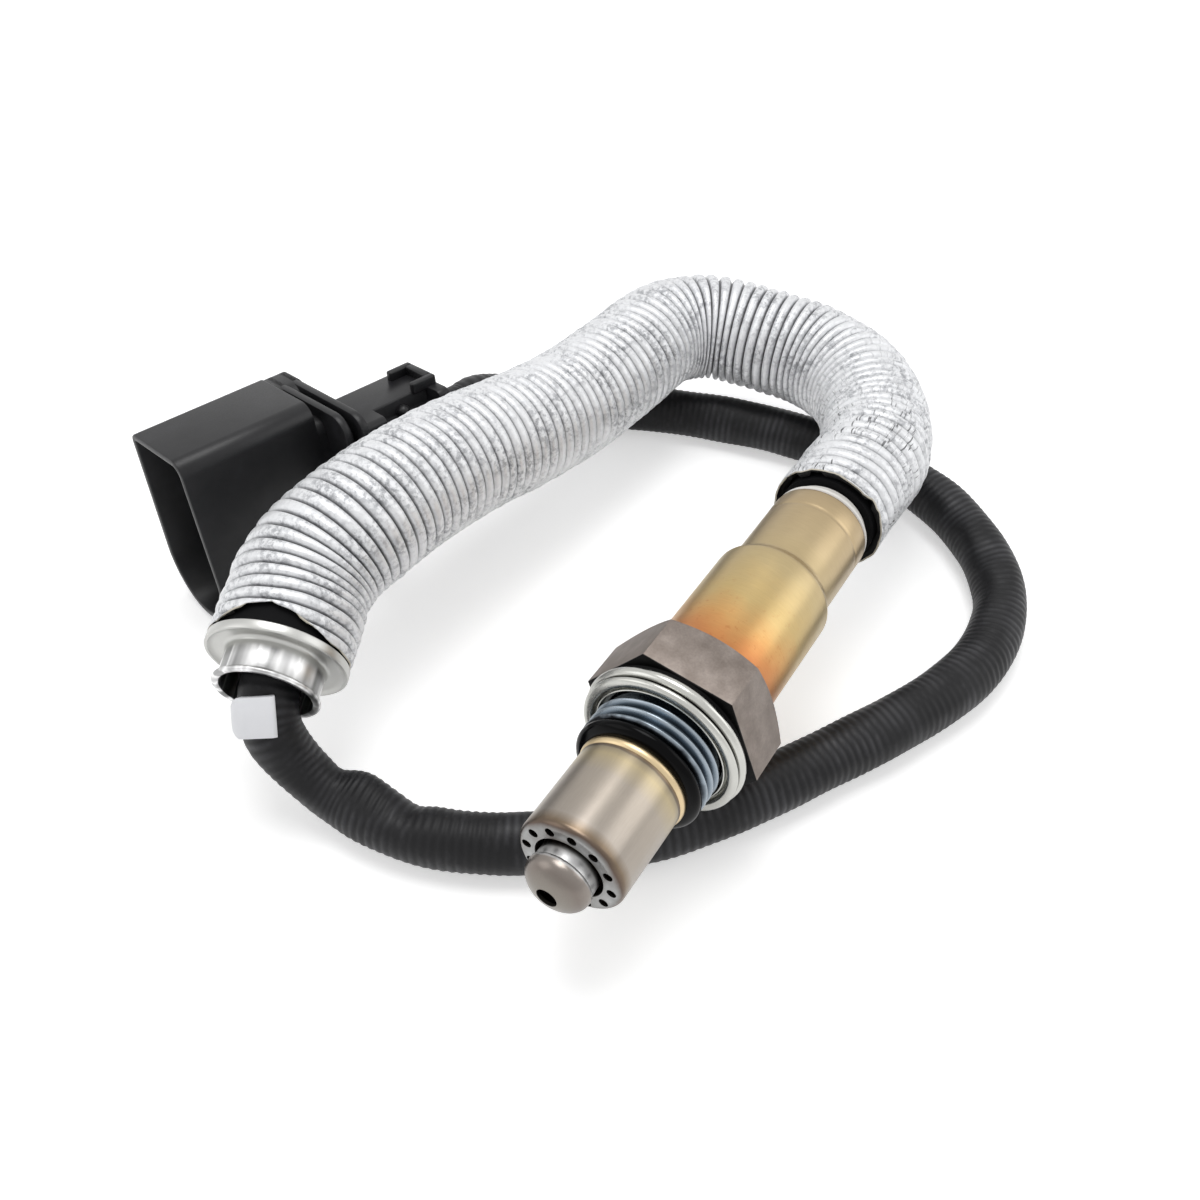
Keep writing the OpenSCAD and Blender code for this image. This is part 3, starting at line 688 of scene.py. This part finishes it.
def drawnSteel():
    # Deep drawn stainless steel: smooth and warm grey, brown at the front edge, golden towards the weld, with
    # a painted highlight on the nose's neck and a painted brownish reflection on its dome
    material, tree, shader, place = newMaterial("drawnStainlessSteel", metallic=1.0, roughness=0.3)
    brushed = noiseAt(tree, place, 0.1, 2, 0.6, (0.05, 1, 1))
    cloudy = noiseAt(tree, place, 4, 3)
    wander = scaled(tree, cloudy, 0.7 * mm, -0.35 * mm)
    # on the nose, the bright grey band over the neck is a painted highlight, and the brownish dome a painted
    # reflection
    tone = rampOf(tree, alongX(tree, place, 5, 26, wander), [
        (0.06, "#9c8259"), (0.085, "#8a7457"), (0.115, "#6a6157"), (0.125, "#968b76"), (0.17, "#aea082"),
        (0.3, "#a39a8f"), (0.64, "#9e968d"), (0.70, "#7c6d5c"), (0.735, "#5f524a"), (0.752, "#8c8c8b"),
        (0.77, "#cfcfcf"), (0.835, "#cfcfcf"), (0.85, "#8d8680"), (0.92, "#7c746e"), (0.97, "#858079")])
    feed(tree, shader, colour=grained(tree, tone, brushed, 0.12, "#a0a0a0"),
         roughness=scaled(tree, cloudy, 0.12, 0.25))
    bumpOf(tree, shader, brushed, 0.004, 0.2)
    return material


def makeBand():
    # The straw coloured weld ring, and the glossy black band behind it
    weld = turnProfile("weldRing", [(5.5, 5.5), (5.5, 7.42)] + ovalPoints((6.3, 7.2), 0.62, 0.34, 150, 20, 8)
                       + [(6.95, 7.25), (6.95, 5.5)])
    band = turnProfile("blackBand", [(4.35, 6.5), (4.35, 8.6), (4.45, 8.82)]
                       + ovalPoints((4.85, 7.45), 1.05, 1.5, 104, 5, 16) + [(5.92, 7.3), (5.92, 6.5)])
    return weld, band


def makeThread():
    look = sensorLook
    crest, root, pitch = look["threadCrest"], look["threadRoot"], look["threadPitch"]
    back, length, count = look["threadBack"], look["threadLength"], look["threadRings"]
    rings = [(back + length * i / count, crest) for i in range(count + 1)]
    profile = [(-2.9, 6.0), (-2.9, 8.3), (-0.9, 8.3)] + rings + [(4.65, 6.0)]
    piece = turnProfile("thread", profile, 144)
    waves = []
    for v in piece.data.vertices:
        x = v.co.x / mm
        r = math.hypot(v.co.y, v.co.z) / mm
        if r < crest - 0.01:  # not one of the rings that are cut to the thread's shape
            waves.append(0.0)
            continue
        a = math.atan2(v.co.z, v.co.y) / (2 * math.pi)
        wave = 0.5 + 0.5 * math.cos(2 * math.pi * (x / pitch - a - 0.13))
        runOut = min(1, max(0, (x - back) / 0.5))
        k = (root + (crest - root) * wave ** 0.8 * runOut) / r
        v.co.y *= k
        v.co.z *= k
        waves.append(wave)
    # how near each point is to a crest; the material paints crests as highlight and grooves as shade
    paintPoints(piece, "crest", waves)
    return piece


def bluedThread():
    # Rolled thread in stainless steel, blue grey and slightly oily, black next to the band, with painted
    # highlights on its crests and painted shade in its grooves
    material, tree, shader, place = newMaterial("bluedSteelThread", metallic=0.9, roughness=0.28)
    cloudy = noiseAt(tree, place, 2.5, 3)
    # painted highlight on the crests and painted shade in the grooves
    tone = rampOf(tree, readPaint(tree, "crest"), [(0.1, "#39424a"), (0.5, "#6a757f"), (0.9, "#9aa4ad")])
    blackened = rampOf(tree, alongX(tree, place, 2.8, 4.8, scaled(tree, cloudy, 1.2 * mm, -0.6 * mm)),
                       [(0.3, 0.0), (0.6, 1.0)])
    feed(tree, shader, colour=mixed(tree, blackened, tone, "#141519"),
         roughness=scaled(tree, cloudy, 0.14, 0.2))
    return material


def makeHexagon():
    look = sensorLook
    front, back, flats = look["hexFront"], look["hexBack"], look["hexFlats"] / 2
    corner = flats / math.cos(math.pi / 6)
    piece = named(addRod(6, corner, front - back, ((front + back) / 2, 0, 0)), "hexagon")
    piece.data.transform(Matrix.Rotation(math.radians(-look["hexTurn"]), 4, "X"))
    cone = turnProfile("hexCone", [(-2.99, 0), (-2.99, 10.7), (-3.4, 10.9), (-3.6, corner + 1),
                                   (back + 1.6, corner + 1), (back, flats - 0.2), (back - 0.01, 0)], 96)
    cutBy(piece, cone, "INTERSECT")
    roundEdges(piece, 0.14, 3, 20)
    cutBy(piece, addRod(96, 8.3, 30))
    return piece


def blastedHex():
    # Hexagon in stainless steel, blasted: brown grey with a fine grain, its front face painted black as shade
    material, tree, shader, place = newMaterial("blastedStainlessSteel", metallic=0.75, roughness=0.5)
    grain = noiseAt(tree, place, 0.3, 2, 0.6)
    cloudy = noiseAt(tree, place, 2.6, 4)
    tone = rampOf(tree, cloudy, [(0.3, "#7b716a"), (0.5, "#867c75"), (0.72, "#948a83")])
    tone = grained(tree, tone, grain, 0.25, "#909090")
    # painted shade: the front face is black and not metallic
    frontShade = rampOf(tree, alongX(tree, place, -4.2, -3.0), [(0.44, 0.0), (0.5, 1.0)])
    feed(tree, shader, colour=mixed(tree, frontShade, tone, "#030303"), metallic=scaled(tree, frontShade, -0.75, 0.75),
         gloss=scaled(tree, frontShade, -0.4, 0.5), roughness=scaled(tree, grain, 0.16, 0.4))
    bumpOf(tree, shader, grain, 0.02, 0.3)
    return material


def makeGasket():
    # A steel ring folded twice over: a wide front fold, a thin rear one, and an inner lip round the thread
    lip = [(-3.0, 8.62), (-1.4, 8.62), (-1.2, 9.12), (-0.5, 9.16), (-0.36, 9.26), (-0.42, 9.4), (-0.85, 9.46),
           (-1.05, 9.62), (-0.85, 9.8)]
    front = (ovalPoints((-0.55, 10.4), 0.55, 0.62, -60, -10, 4)
             + ovalPoints((-0.55, 10.4), 0.55, 0.85, 0, 120, 12))
    rear = ovalPoints((-1.95, 10.75), 0.8, 0.85, 30, 170, 14)
    return turnProfile("gasket", lip + front + [(-1.08, 10.8), (-1.2, 10.8)] + rear + [(-3.0, 10.2)], 160)


def brightSteel():
    # Bright rolled steel strip, bent: clean silver with a slight haze, and painted shade in the gap between
    # its folds
    material, tree, shader, place = newMaterial("brightRolledSteel", metallic=1.0, roughness=0.26)
    haze = noiseAt(tree, place, 4, 3)
    # painted shade: black in the gap between the folds
    gapShade = rampOf(tree, alongX(tree, place, -1.5, -0.7), [(0.28, 0.0), (0.38, 1.0), (0.55, 1.0), (0.65, 0.0)])
    tone = mixed(tree, haze, "#b2b2ad", "#cbcbc6")
    feed(tree, shader, colour=mixed(tree, gapShade, tone, "#121212"), roughness=scaled(tree, haze, 0.12, 0.2))
    return material


def makeSleeve():
    # From the collar at the hexagon over the shoulder and the crimp to the mouth, and back inside
    collar = [(-11.7, 8.9), (-11.75, 9.12), (-11.95, 9.2), (-12.15, 9.12), (-12.25, 8.93), (-12.4, 8.9)]
    wide = [(x, 8.9) for x in (-18, -24, -29)]
    shoulder = [(-32.2 - 2.6 * i / 10, 8.9 - 1.25 * (1 - math.cos(math.pi * i / 10)) / 2) for i in range(11)]
    crimp = [(-44.5 - 1.2 * i / 8, 7.65 - 0.07 * (1 - math.cos(2 * math.pi * i / 8)) / 2) for i in range(9)]
    mouth = [(-48.5, 7.65), (-48.78, 7.58), (-48.9, 7.4)]
    inside = [(-48.9, 7.15), (-36.5, 7.15), (-34.8, 7.15), (-32.2, 8.4), (-11.7, 8.4)]
    return turnProfile("sleeve", collar + wide + shoulder + [(-38, 7.65)] + crimp + mouth + inside)


def tintedSteel():
    # Stainless steel tinted by welding: copper at the hexagon, straw and khaki gold behind it
    material, tree, shader, place = newMaterial("heatTintedSteel", metallic=1.0, roughness=0.34)
    cloudy = noiseAt(tree, place, 5, 3)
    wander = scaled(tree, cloudy, 6 * mm, -3 * mm)
    tone = rampOf(tree, alongX(tree, place, -50, -10, wander), [
        (0.06, "#b39f7e"), (0.3, "#b7a481"), (0.5, "#bba87f"), (0.68, "#c0a774"),
        (0.8, "#c69962"), (0.88, "#c38754"), (0.95, "#b9744b"), (1.0, "#9d6858")])
    mouth = rampOf(tree, alongX(tree, place, -49, -48), [(0.2, 0.8), (0.4, 0.0)])
    tone = mixed(tree, mouth, tone, "#6b463a")
    specks = rampOf(tree, noiseAt(tree, place, 0.7, 3, 0.6), [(0.6, 0.0), (0.7, 0.4)])
    mottle = mathOf(tree, "MULTIPLY", specks, alongX(tree, place, -30, -14))
    tone = mixed(tree, mottle, tone, "#a8643c")
    fine = noiseAt(tree, place, 0.12, 2, 0.6, (1, 0.06, 0.06))
    feed(tree, shader, colour=grained(tree, tone, fine, 0.12, "#a0a0a0"),
         roughness=scaled(tree, cloudy, 0.16, 0.27))
    bumpOf(tree, shader, fine, 0.004, 0.2)
    return material


def makeSeal():
    lip = arcPoints((-49.5, 6.95), 0.55, 60, 180, 6)
    return turnProfile("whiteSeal", [(-42.5, 0), (-42.5, 7.05), (-48.4, 7.05), (-48.95, 7.05)] + lip
                       + [(-50.6, 6.7), (-51.2, 6.6), (sealBack, 6.2), (sealBack, 0)])


def plainPlastic(name, colour, dark, roughness, grain=0.5, gloss=0.5):
    # Moulded, sintered or pressed stock with a fine surface; each caller says what it is
    material, tree, shader, place = newMaterial(name, roughness=roughness, gloss=gloss)
    cloudy = noiseAt(tree, place, grain * 6, 3)
    feed(tree, shader, colour=mixed(tree, cloudy, dark, colour),
         roughness=scaled(tree, cloudy, 0.15, roughness - 0.07))
    bumpOf(tree, shader, noiseAt(tree, place, grain, 2), 0.015, 0.3)
    return material


steel = drawnSteel()
tube, nose = makeTubes()
finishPiece(tube, steel, ["outer_tube"])
finishPiece(nose, steel, ["inner_tube"])
weld, band = makeBand()
hexagon = makeHexagon()
finishPiece(hexagon, blastedHex(), ["housing"], smooth=25)
# stainless steel, straw coloured by the weld
strawSteel = newMaterial("strawTintedWeld", colour=hexColour("#d2bd97"), metallic=1.0, roughness=0.36)[0]
finishPiece(weld, strawSteel)
# glossy black, for the band in front of the thread
blackBandGloss = plainPlastic("glossBlackBand", "#030304", "#010102", 0.13, 0.6, 0.08)
finishPiece(band, blackBandGloss)
finishPiece(makeThread(), bluedThread(), smooth=60)
finishPiece(makeGasket(), brightSteel(), ["gasket"])
finishPiece(makeSleeve(), tintedSteel(), ["sleeve"])
# PTFE, pressed and sintered
finishPiece(makeSeal(), plainPlastic("whitePtfe", "#f0eeea", "#e2dfd8", 0.4, 0.4), ["grommet"])
print("sensor body made")

linerLook = {
    "sides": 40,
    "rings": 220,
    "past": 0.2,  # mm that it goes past the foil's end
    "radius": 7.55,
    "gain": 1.1,
    "flare": 0.5,  # over the ferrule's spigot
}


def makeLiner():
    look = linerLook
    sides, count = look["sides"], look["rings"]
    stop = hoseRoute.length + look["past"] * mm
    points = []
    for i in range(count + 1):
        s = stop * i / count
        spot, side, above = hoseRoute.frame(s, hoseLook["reach"] * mm)
        way = s / mm
        share = way / (hoseRoute.length / mm)
        r = look["radius"] + look["gain"] * share + look["flare"] * min(1, max(0, (way - stop / mm) / 3 + 2))
        for j in range(sides):
            a = 2 * math.pi * j / sides
            points.append(spot + r * mm * (math.cos(a) * side + math.sin(a) * above))
    return meshOf("hoseLiner", points, tubeFaces(count, sides))


def makeFerrule():
    spigot = [(-3, 6.45), (-3, 8.45), (3.5, 8.45), (3.6, 9.0), (3.6, 9.8)]
    flange = (arcPoints((3.8, 9.8), 0.2, 180, 90, 4)
              + [(4.3, 10.0), (4.78, 10.0), (4.93, 9.94), (5.0, 9.8)]
              + [(4.98, 9.55), (4.85, 9.4), (4.62, 9.1), (4.5, 8.7), (4.48, 8.2)])
    neck = arcPoints((5.15, 7.6), 0.65, 180, 265, 8) + [(5.6, 6.95), (7.2, 6.95), (8.8, 6.95), (9.1, 7.1)]
    bead = arcPoints((9.45, 7.15), 0.38, 150, 0, 8) + [(9.83, 6.75), (9.7, 6.5), (9.2, 6.42), (8.2, 6.45)]
    piece = turnProfile("ferrule", spigot + flange + neck + bead)
    piece.data.transform(ferrulePlace)
    return piece


def turnedAluminium():
    # Turned aluminium: bright, with fine lathe lines round it
    material, tree, shader, place = newMaterial("turnedAluminium", metallic=1.0, roughness=0.3)
    turnBack = addNode(tree, "ShaderNodeMapping", {
        "vector_type": "TEXTURE", "Location": tuple(ferruleSpot), "Rotation": ferruleTurn.to_euler()},
        {"Vector": place}).outputs[0]
    lathe = noiseAt(tree, turnBack, 0.16, 2, 0.6, (1, 0.03, 0.03))
    bands = noiseAt(tree, turnBack, 3.2, 2, 0.5, (0.08, 1, 1))
    # painted reflection: light and dark streaks along the neck
    reflectionStreaks = rampOf(tree, bands, [(0.36, "#7b7b7b"), (0.46, "#bdbdbd"), (0.55, "#f0f0f0"),
                                   (0.62, "#9c9c9c")])
    onNeck = alongX(tree, turnBack, 5.4, 6.0)  # the neck mirrors its surroundings in streaks
    feed(tree, shader, colour=mixed(tree, onNeck, "#bcbcb9", reflectionStreaks),
         roughness=scaled(tree, lathe, 0.2, 0.26))
    bumpOf(tree, shader, lathe, 0.012, 0.4)
    return material


clipLook = {
    "way": 14.7,
    "roll": 11,
    "length": 5.4,
    "width": 7.1,
    "height": 4.0,
    "above": 2.3,  # its top above the sheath
    "bore": 4.75,
    "roundSide": (3.4, 3.5),
    "oval": (3.3, 4.6),  # half its plan, whose middle is ovalSide off the cable's line
    "ovalSide": 1.0,
}


def clipPlace():
    s = clipLook["way"] * mm
    t = Vector(cableRoute.at(s + 3 * mm) - cableRoute.at(s - 3 * mm)).normalized()
    turnIt = Euler((math.radians(clipLook["roll"]), -math.asin(t.z), math.atan2(t.y, t.x)))
    return Matrix.Translation(cableRoute.at(s)) @ turnIt.to_matrix().to_4x4()


def makeClip():
    # A small block over the cable, broadly rounded on one side
    look = clipLook
    half = look["width"] / 2
    top = cableLook["radius"] + look["above"]
    low = top - look["height"]
    across, down = look["roundSide"]
    outline = (arcPoints((half - 0.6, top - 0.6), 0.6, 90, -20, 6) + [(half - 1.5, low), (-half + 0.3, low)]
               + ovalPoints((-half + across, top - down), across, down, 180, 90, 14))
    piece = drawOutline("cableClip", outline, -look["length"] / 2, look["length"] / 2)
    cutBy(piece, addRod(64, look["bore"], 30))
    bpy.ops.mesh.primitive_cylinder_add(vertices=72, radius=mm, depth=30 * mm,
                                        location=(0, look["ovalSide"] * mm, 0))
    oval = bpy.context.object
    oval.scale = look["oval"] + (1,)
    settle(oval)
    cutBy(piece, oval, "INTERSECT")
    roundEdges(piece, 0.4, 3, 40)
    piece.data.transform(clipPlace())
    return piece


# woven glass fibre sleeve, soaked in black resin
sleeving = plainPlastic("blackGlassSleeve", "#121214", "#080809", 0.7, 0.5, 0.1)
finishPiece(makeLiner(), sleeving, ["hose_liner"], smooth=60)
finishPiece(makeFerrule(), turnedAluminium(), ["ferrule"])
# white polypropylene, moulded
whitePlastic = plainPlastic("whiteMouldedClip", "#f1f2f5", "#e9eaee", 0.4, 0.5)
clip = finishPiece(makeClip(), whitePlastic, ["cable_clip"], smooth=40)
print("liner, ferrule and clip made")

plugLook = {
    "width": 16.8,
    "topWidth": 15.4,
    "height": 31.2,
    "sideHeight": 21.5,
    "farCorner": 1.5,
    "nearCorner": 2.6,
    "wall": 1.1,
    "depth": 19.0,
    "shroudEnd": 22.8,
    "plates": (("plateA", 24.4, 13.2), ("plateB", 26.7, 14.8)),  # each plate's front and reach
    "plateThickness": 1.4,
    "rear": 28.1,
    "rearEnd": 49.1,
    "rearTop": -8.2,
    "rearWidth": 13.3,
    "rearHeight": 17.4,
    "keyRibs": (-8, -19),
}


def shroudOutline(inset=0.0):
    # The shroud's mouth as (y, z): a flat top with two unlike corners, straight sides and an oval floor
    look = plugLook
    far, near, half = look["farCorner"], look["nearCorner"], look["topWidth"] / 2
    return (arcPoints((half - far, -far), max(far - inset, 0.4), 90, 0, 8)
            + ovalPoints((0, -look["sideHeight"]), look["width"] / 2 - inset,
                         look["height"] - look["sideHeight"] - inset, 0, -180, 24)
            + arcPoints((near - half, -near), near - inset, 180, 90, 12))


def boxOutline(width, height, r, z):
    w, h = width / 2 - r, height / 2 - r
    return (arcPoints((w, z + h), r, 90, 0, 5) + arcPoints((w, z - h), r, 0, -90, 5)
            + arcPoints((-w, z - h), r, -90, -180, 5) + arcPoints((-w, z + h), r, 180, 90, 5))


def plateOutline(reach):
    # A guide plate, with its near edge at reach mm from the middle
    far, top, height, c = 10.4, -1.6, 20.0, 3.5
    return (arcPoints((far - 1.5, top - 1.5), 1.5, 90, 0, 4)
            + arcPoints((far - 1.5, top - height + 1.5), 1.5, 0, -90, 4)
            + arcPoints((1 - reach, top - height + 1), 1, -90, -180, 4)
            + arcPoints((c - reach, top - c), c, 180, 90, 8))


def makeRear():
    # The rear housing with the recess for its latch, and the collar that the cable enters
    look = plugLook
    rear, end, top, half = look["rear"], look["rearEnd"], look["rearTop"], look["rearWidth"] / 2
    outline = boxOutline(look["rearWidth"], look["rearHeight"], 1.2, top - look["rearHeight"] / 2)
    block = drawOutline("rearHousing", outline, rear - 0.1, end)
    cutBy(block, addBlock("recess", (rear + 8, -half - 1, top - 2.8), (rear + 18.8, -half + 4, top + 2.2)))
    parts = [roundEdges(block, 0.3, 2, 50)]
    collar = turnProfile("rearCollar", [(end - 1, 0), (end - 1, 6.2), (end + 0.1, 6.2), (plugEnd - 0.2, 5.3),
                                        (plugEnd, 5.1), (plugEnd, 0)], 64)
    collar.data.transform(Matrix.Translation((0, 0, cableHeight * mm)))
    parts.append(collar)
    x, z = end - 5, top - 0.5
    for low, high in (((x, -3.3, z), (x + 4.8, -2.0, z + 2.1)), ((x, 3.3, z), (x + 4.8, 4.6, z + 2.1)),
                      ((x + 3.3, -2.2, z), (x + 4.8, 3.5, z + 2.1))):
        parts.append(roundEdges(addBlock("loopArm", low, high), 0.35, 3))
    bpy.ops.mesh.primitive_uv_sphere_add(segments=24, ring_count=12, radius=1.2 * mm, location=(
        (rear + 13.3) * mm, (-half + 3.4) * mm, (top - 2.4) * mm))
    latchBump = bpy.context.object
    settle(latchBump)
    return parts + [latchBump]


def makePlug():
    look = plugLook
    webEnd = look["rear"] - 0.02
    shroud = drawOutline("plugHousing", shroudOutline(), 0, look["shroudEnd"])
    cutBy(shroud, drawOutline("shroudCut", shroudOutline(look["wall"]), -1, look["depth"]))
    parts = [roundEdges(shroud, 0.3, 2, 50)]
    for name, front, reach in look["plates"]:
        plate = drawOutline(name, plateOutline(reach), front, front + look["plateThickness"])
        parts.append(roundEdges(plate, 0.35, 2))
    parts.append(drawOutline("plateWeb", boxOutline(14.8, 20, 2, -13.5), look["shroudEnd"] - 0.1, webEnd))
    parts.append(drawOutline("farWeb", plateOutline(-1.5), look["plates"][0][1] + 0.02, webEnd))
    parts += makeRear()
    wallY = 1 - look["width"] / 2
    for z in look["keyRibs"]:
        rib = addBlock("keyRib", (3, wallY - 0.15, z - 0.6), (look["depth"] + 0.5, wallY + 1.25, z + 0.6))
        parts.append(roundEdges(rib, 0.2, 2))
    piece = joined(parts, "plugHousing")
    piece.data.transform(plugPlace)
    return piece


def mouldedNylon():
    # Glass filled nylon, moulded: satin black, grey where it catches the light
    material, tree, shader, place = newMaterial("mouldedBlackNylon", roughness=0.38, gloss=0.33)
    cloudy = noiseAt(tree, place, 4, 4)
    grain = noiseAt(tree, place, 0.25, 2)
    feed(tree, shader, colour=rampOf(tree, cloudy, [(0.3, "#161618"), (0.6, "#1e1e20"), (0.8, "#252528")]),
         roughness=scaled(tree, grain, 0.16, 0.3))
    bumpOf(tree, shader, grain, 0.012, 0.4)
    return material


nylon = mouldedNylon()
plug = finishPiece(makePlug(), nylon, ["plug_shell"])
print("plug housing made")


# the solids that are kept: alumina and zirconia, sintered
ceramic = plainPlastic("sinteredAlumina", "#ece7dc", "#ddd6c8", 0.55, 0.3)
# plated brass strip, stamped
brass = plainPlastic("platedContactMetal", "#c9a961", "#a98a4a", 0.3, 0.3)
brass.node_tree.nodes["Principled BSDF"].inputs["Metallic"].default_value = 1.0
# extruded PTFE
lead = plainPlastic("ptfeLeadInsulation", "#dedad2", "#cfcabf", 0.45, 0.3)
# polybutylene terephthalate, moulded
lockPlastic = plainPlastic("violetPbt", "#5b3f7a", "#4c3468", 0.42, 0.3)
# silicone rubber, moulded
sealRubber = plainPlastic("siliconeRubber", "#35506b", "#2b435a", 0.5, 0.3)

kept = {"secondary_lock": lockPlastic, "wire_seal": sealRubber, "pin_carrier": nylon}
for name in ("element", "front_ceramic", "powder_seal", "rear_ceramic", "contact_holder", "trim_resistor"):
    kept[name] = ceramic
for i in range(1, 6):
    kept["contact_%d" % i] = brass
    kept["lead_%d" % i] = lead
for i in range(1, 7):
    kept["pin_%d" % i] = brass
for name, material in kept.items():
    nodes[name].data.materials.clear()
    nodes[name].data.materials.append(material)
print("kept solids have their materials")


studio = {
    "floor": -20.65,
    "floorLift": 0.48,  # what lifts the board to the white behind it
    "world": 0.45,
    "lampSize": 0.4,
    "aim": (-0.02, -0.02, 0),
    "lamps": {  # each lamp's place and power
        "overheadBox": ((-0.1, -0.1, 0.75), 2.6),
        "leftBox": ((0.35, -0.5, 0.35), 0.5),
        "rightBox": ((-0.35, 0.45, 0.3), 0.6),
    },
}


def shownBackground(tree):
    # One for the rays that see the background: the camera's, a reflection's and a refraction's
    path = addNode(tree, "ShaderNodeLightPath")
    seen = path.outputs["Is Camera Ray"]
    for ray in ("Is Glossy Ray", "Is Transmission Ray"):
        seen = mathOf(tree, "MAXIMUM", seen, path.outputs[ray])
    return seen


def makeFloor():
    # Matt white board; where the background is seen it is lifted to white, and it keeps the shadow
    bpy.ops.mesh.primitive_plane_add(size=6, location=(0, 0, studio["floor"] * mm))
    floor = named(bpy.context.object, "floor")
    board = newMaterial("mattWhiteBoard", colour=hexColour("#f0f0f0"), roughness=0.9)
    material, tree, shader = board[:3]
    lift = scaled(tree, shownBackground(tree), studio["floorLift"])
    tree.links.new(lift, shader.inputs["Emission Strength"])
    shader.inputs["Emission Color"].default_value = (1, 1, 1, 1)
    floor.data.materials.append(material)


def addLamp(name, place, power):
    bpy.ops.object.light_add(type="AREA", location=place)
    lamp = bpy.context.object
    lamp.name = name
    lamp.data.size = studio["lampSize"]
    lamp.data.energy = power
    lamp.rotation_euler = (Vector(studio["aim"]) - Vector(place)).to_track_quat("-Z", "Y").to_euler()


def makeWorld():
    world = bpy.data.worlds.new("studio")
    world.use_nodes = True
    bpy.context.scene.world = world
    tree = world.node_tree
    back = tree.nodes["Background"]
    strength = addNode(tree, "ShaderNodeMapRange", {"To Min": studio["world"], "To Max": 1.0},
                       {"Value": shownBackground(tree)})
    back.inputs["Color"].default_value = (1, 1, 1, 1)
    tree.links.new(strength.outputs[0], back.inputs["Strength"])


makeFloor()
for name, (place, power) in studio["lamps"].items():
    addLamp(name, place, power)
makeWorld()
bpy.context.scene.view_settings.view_transform = "Standard"
print("studio set")
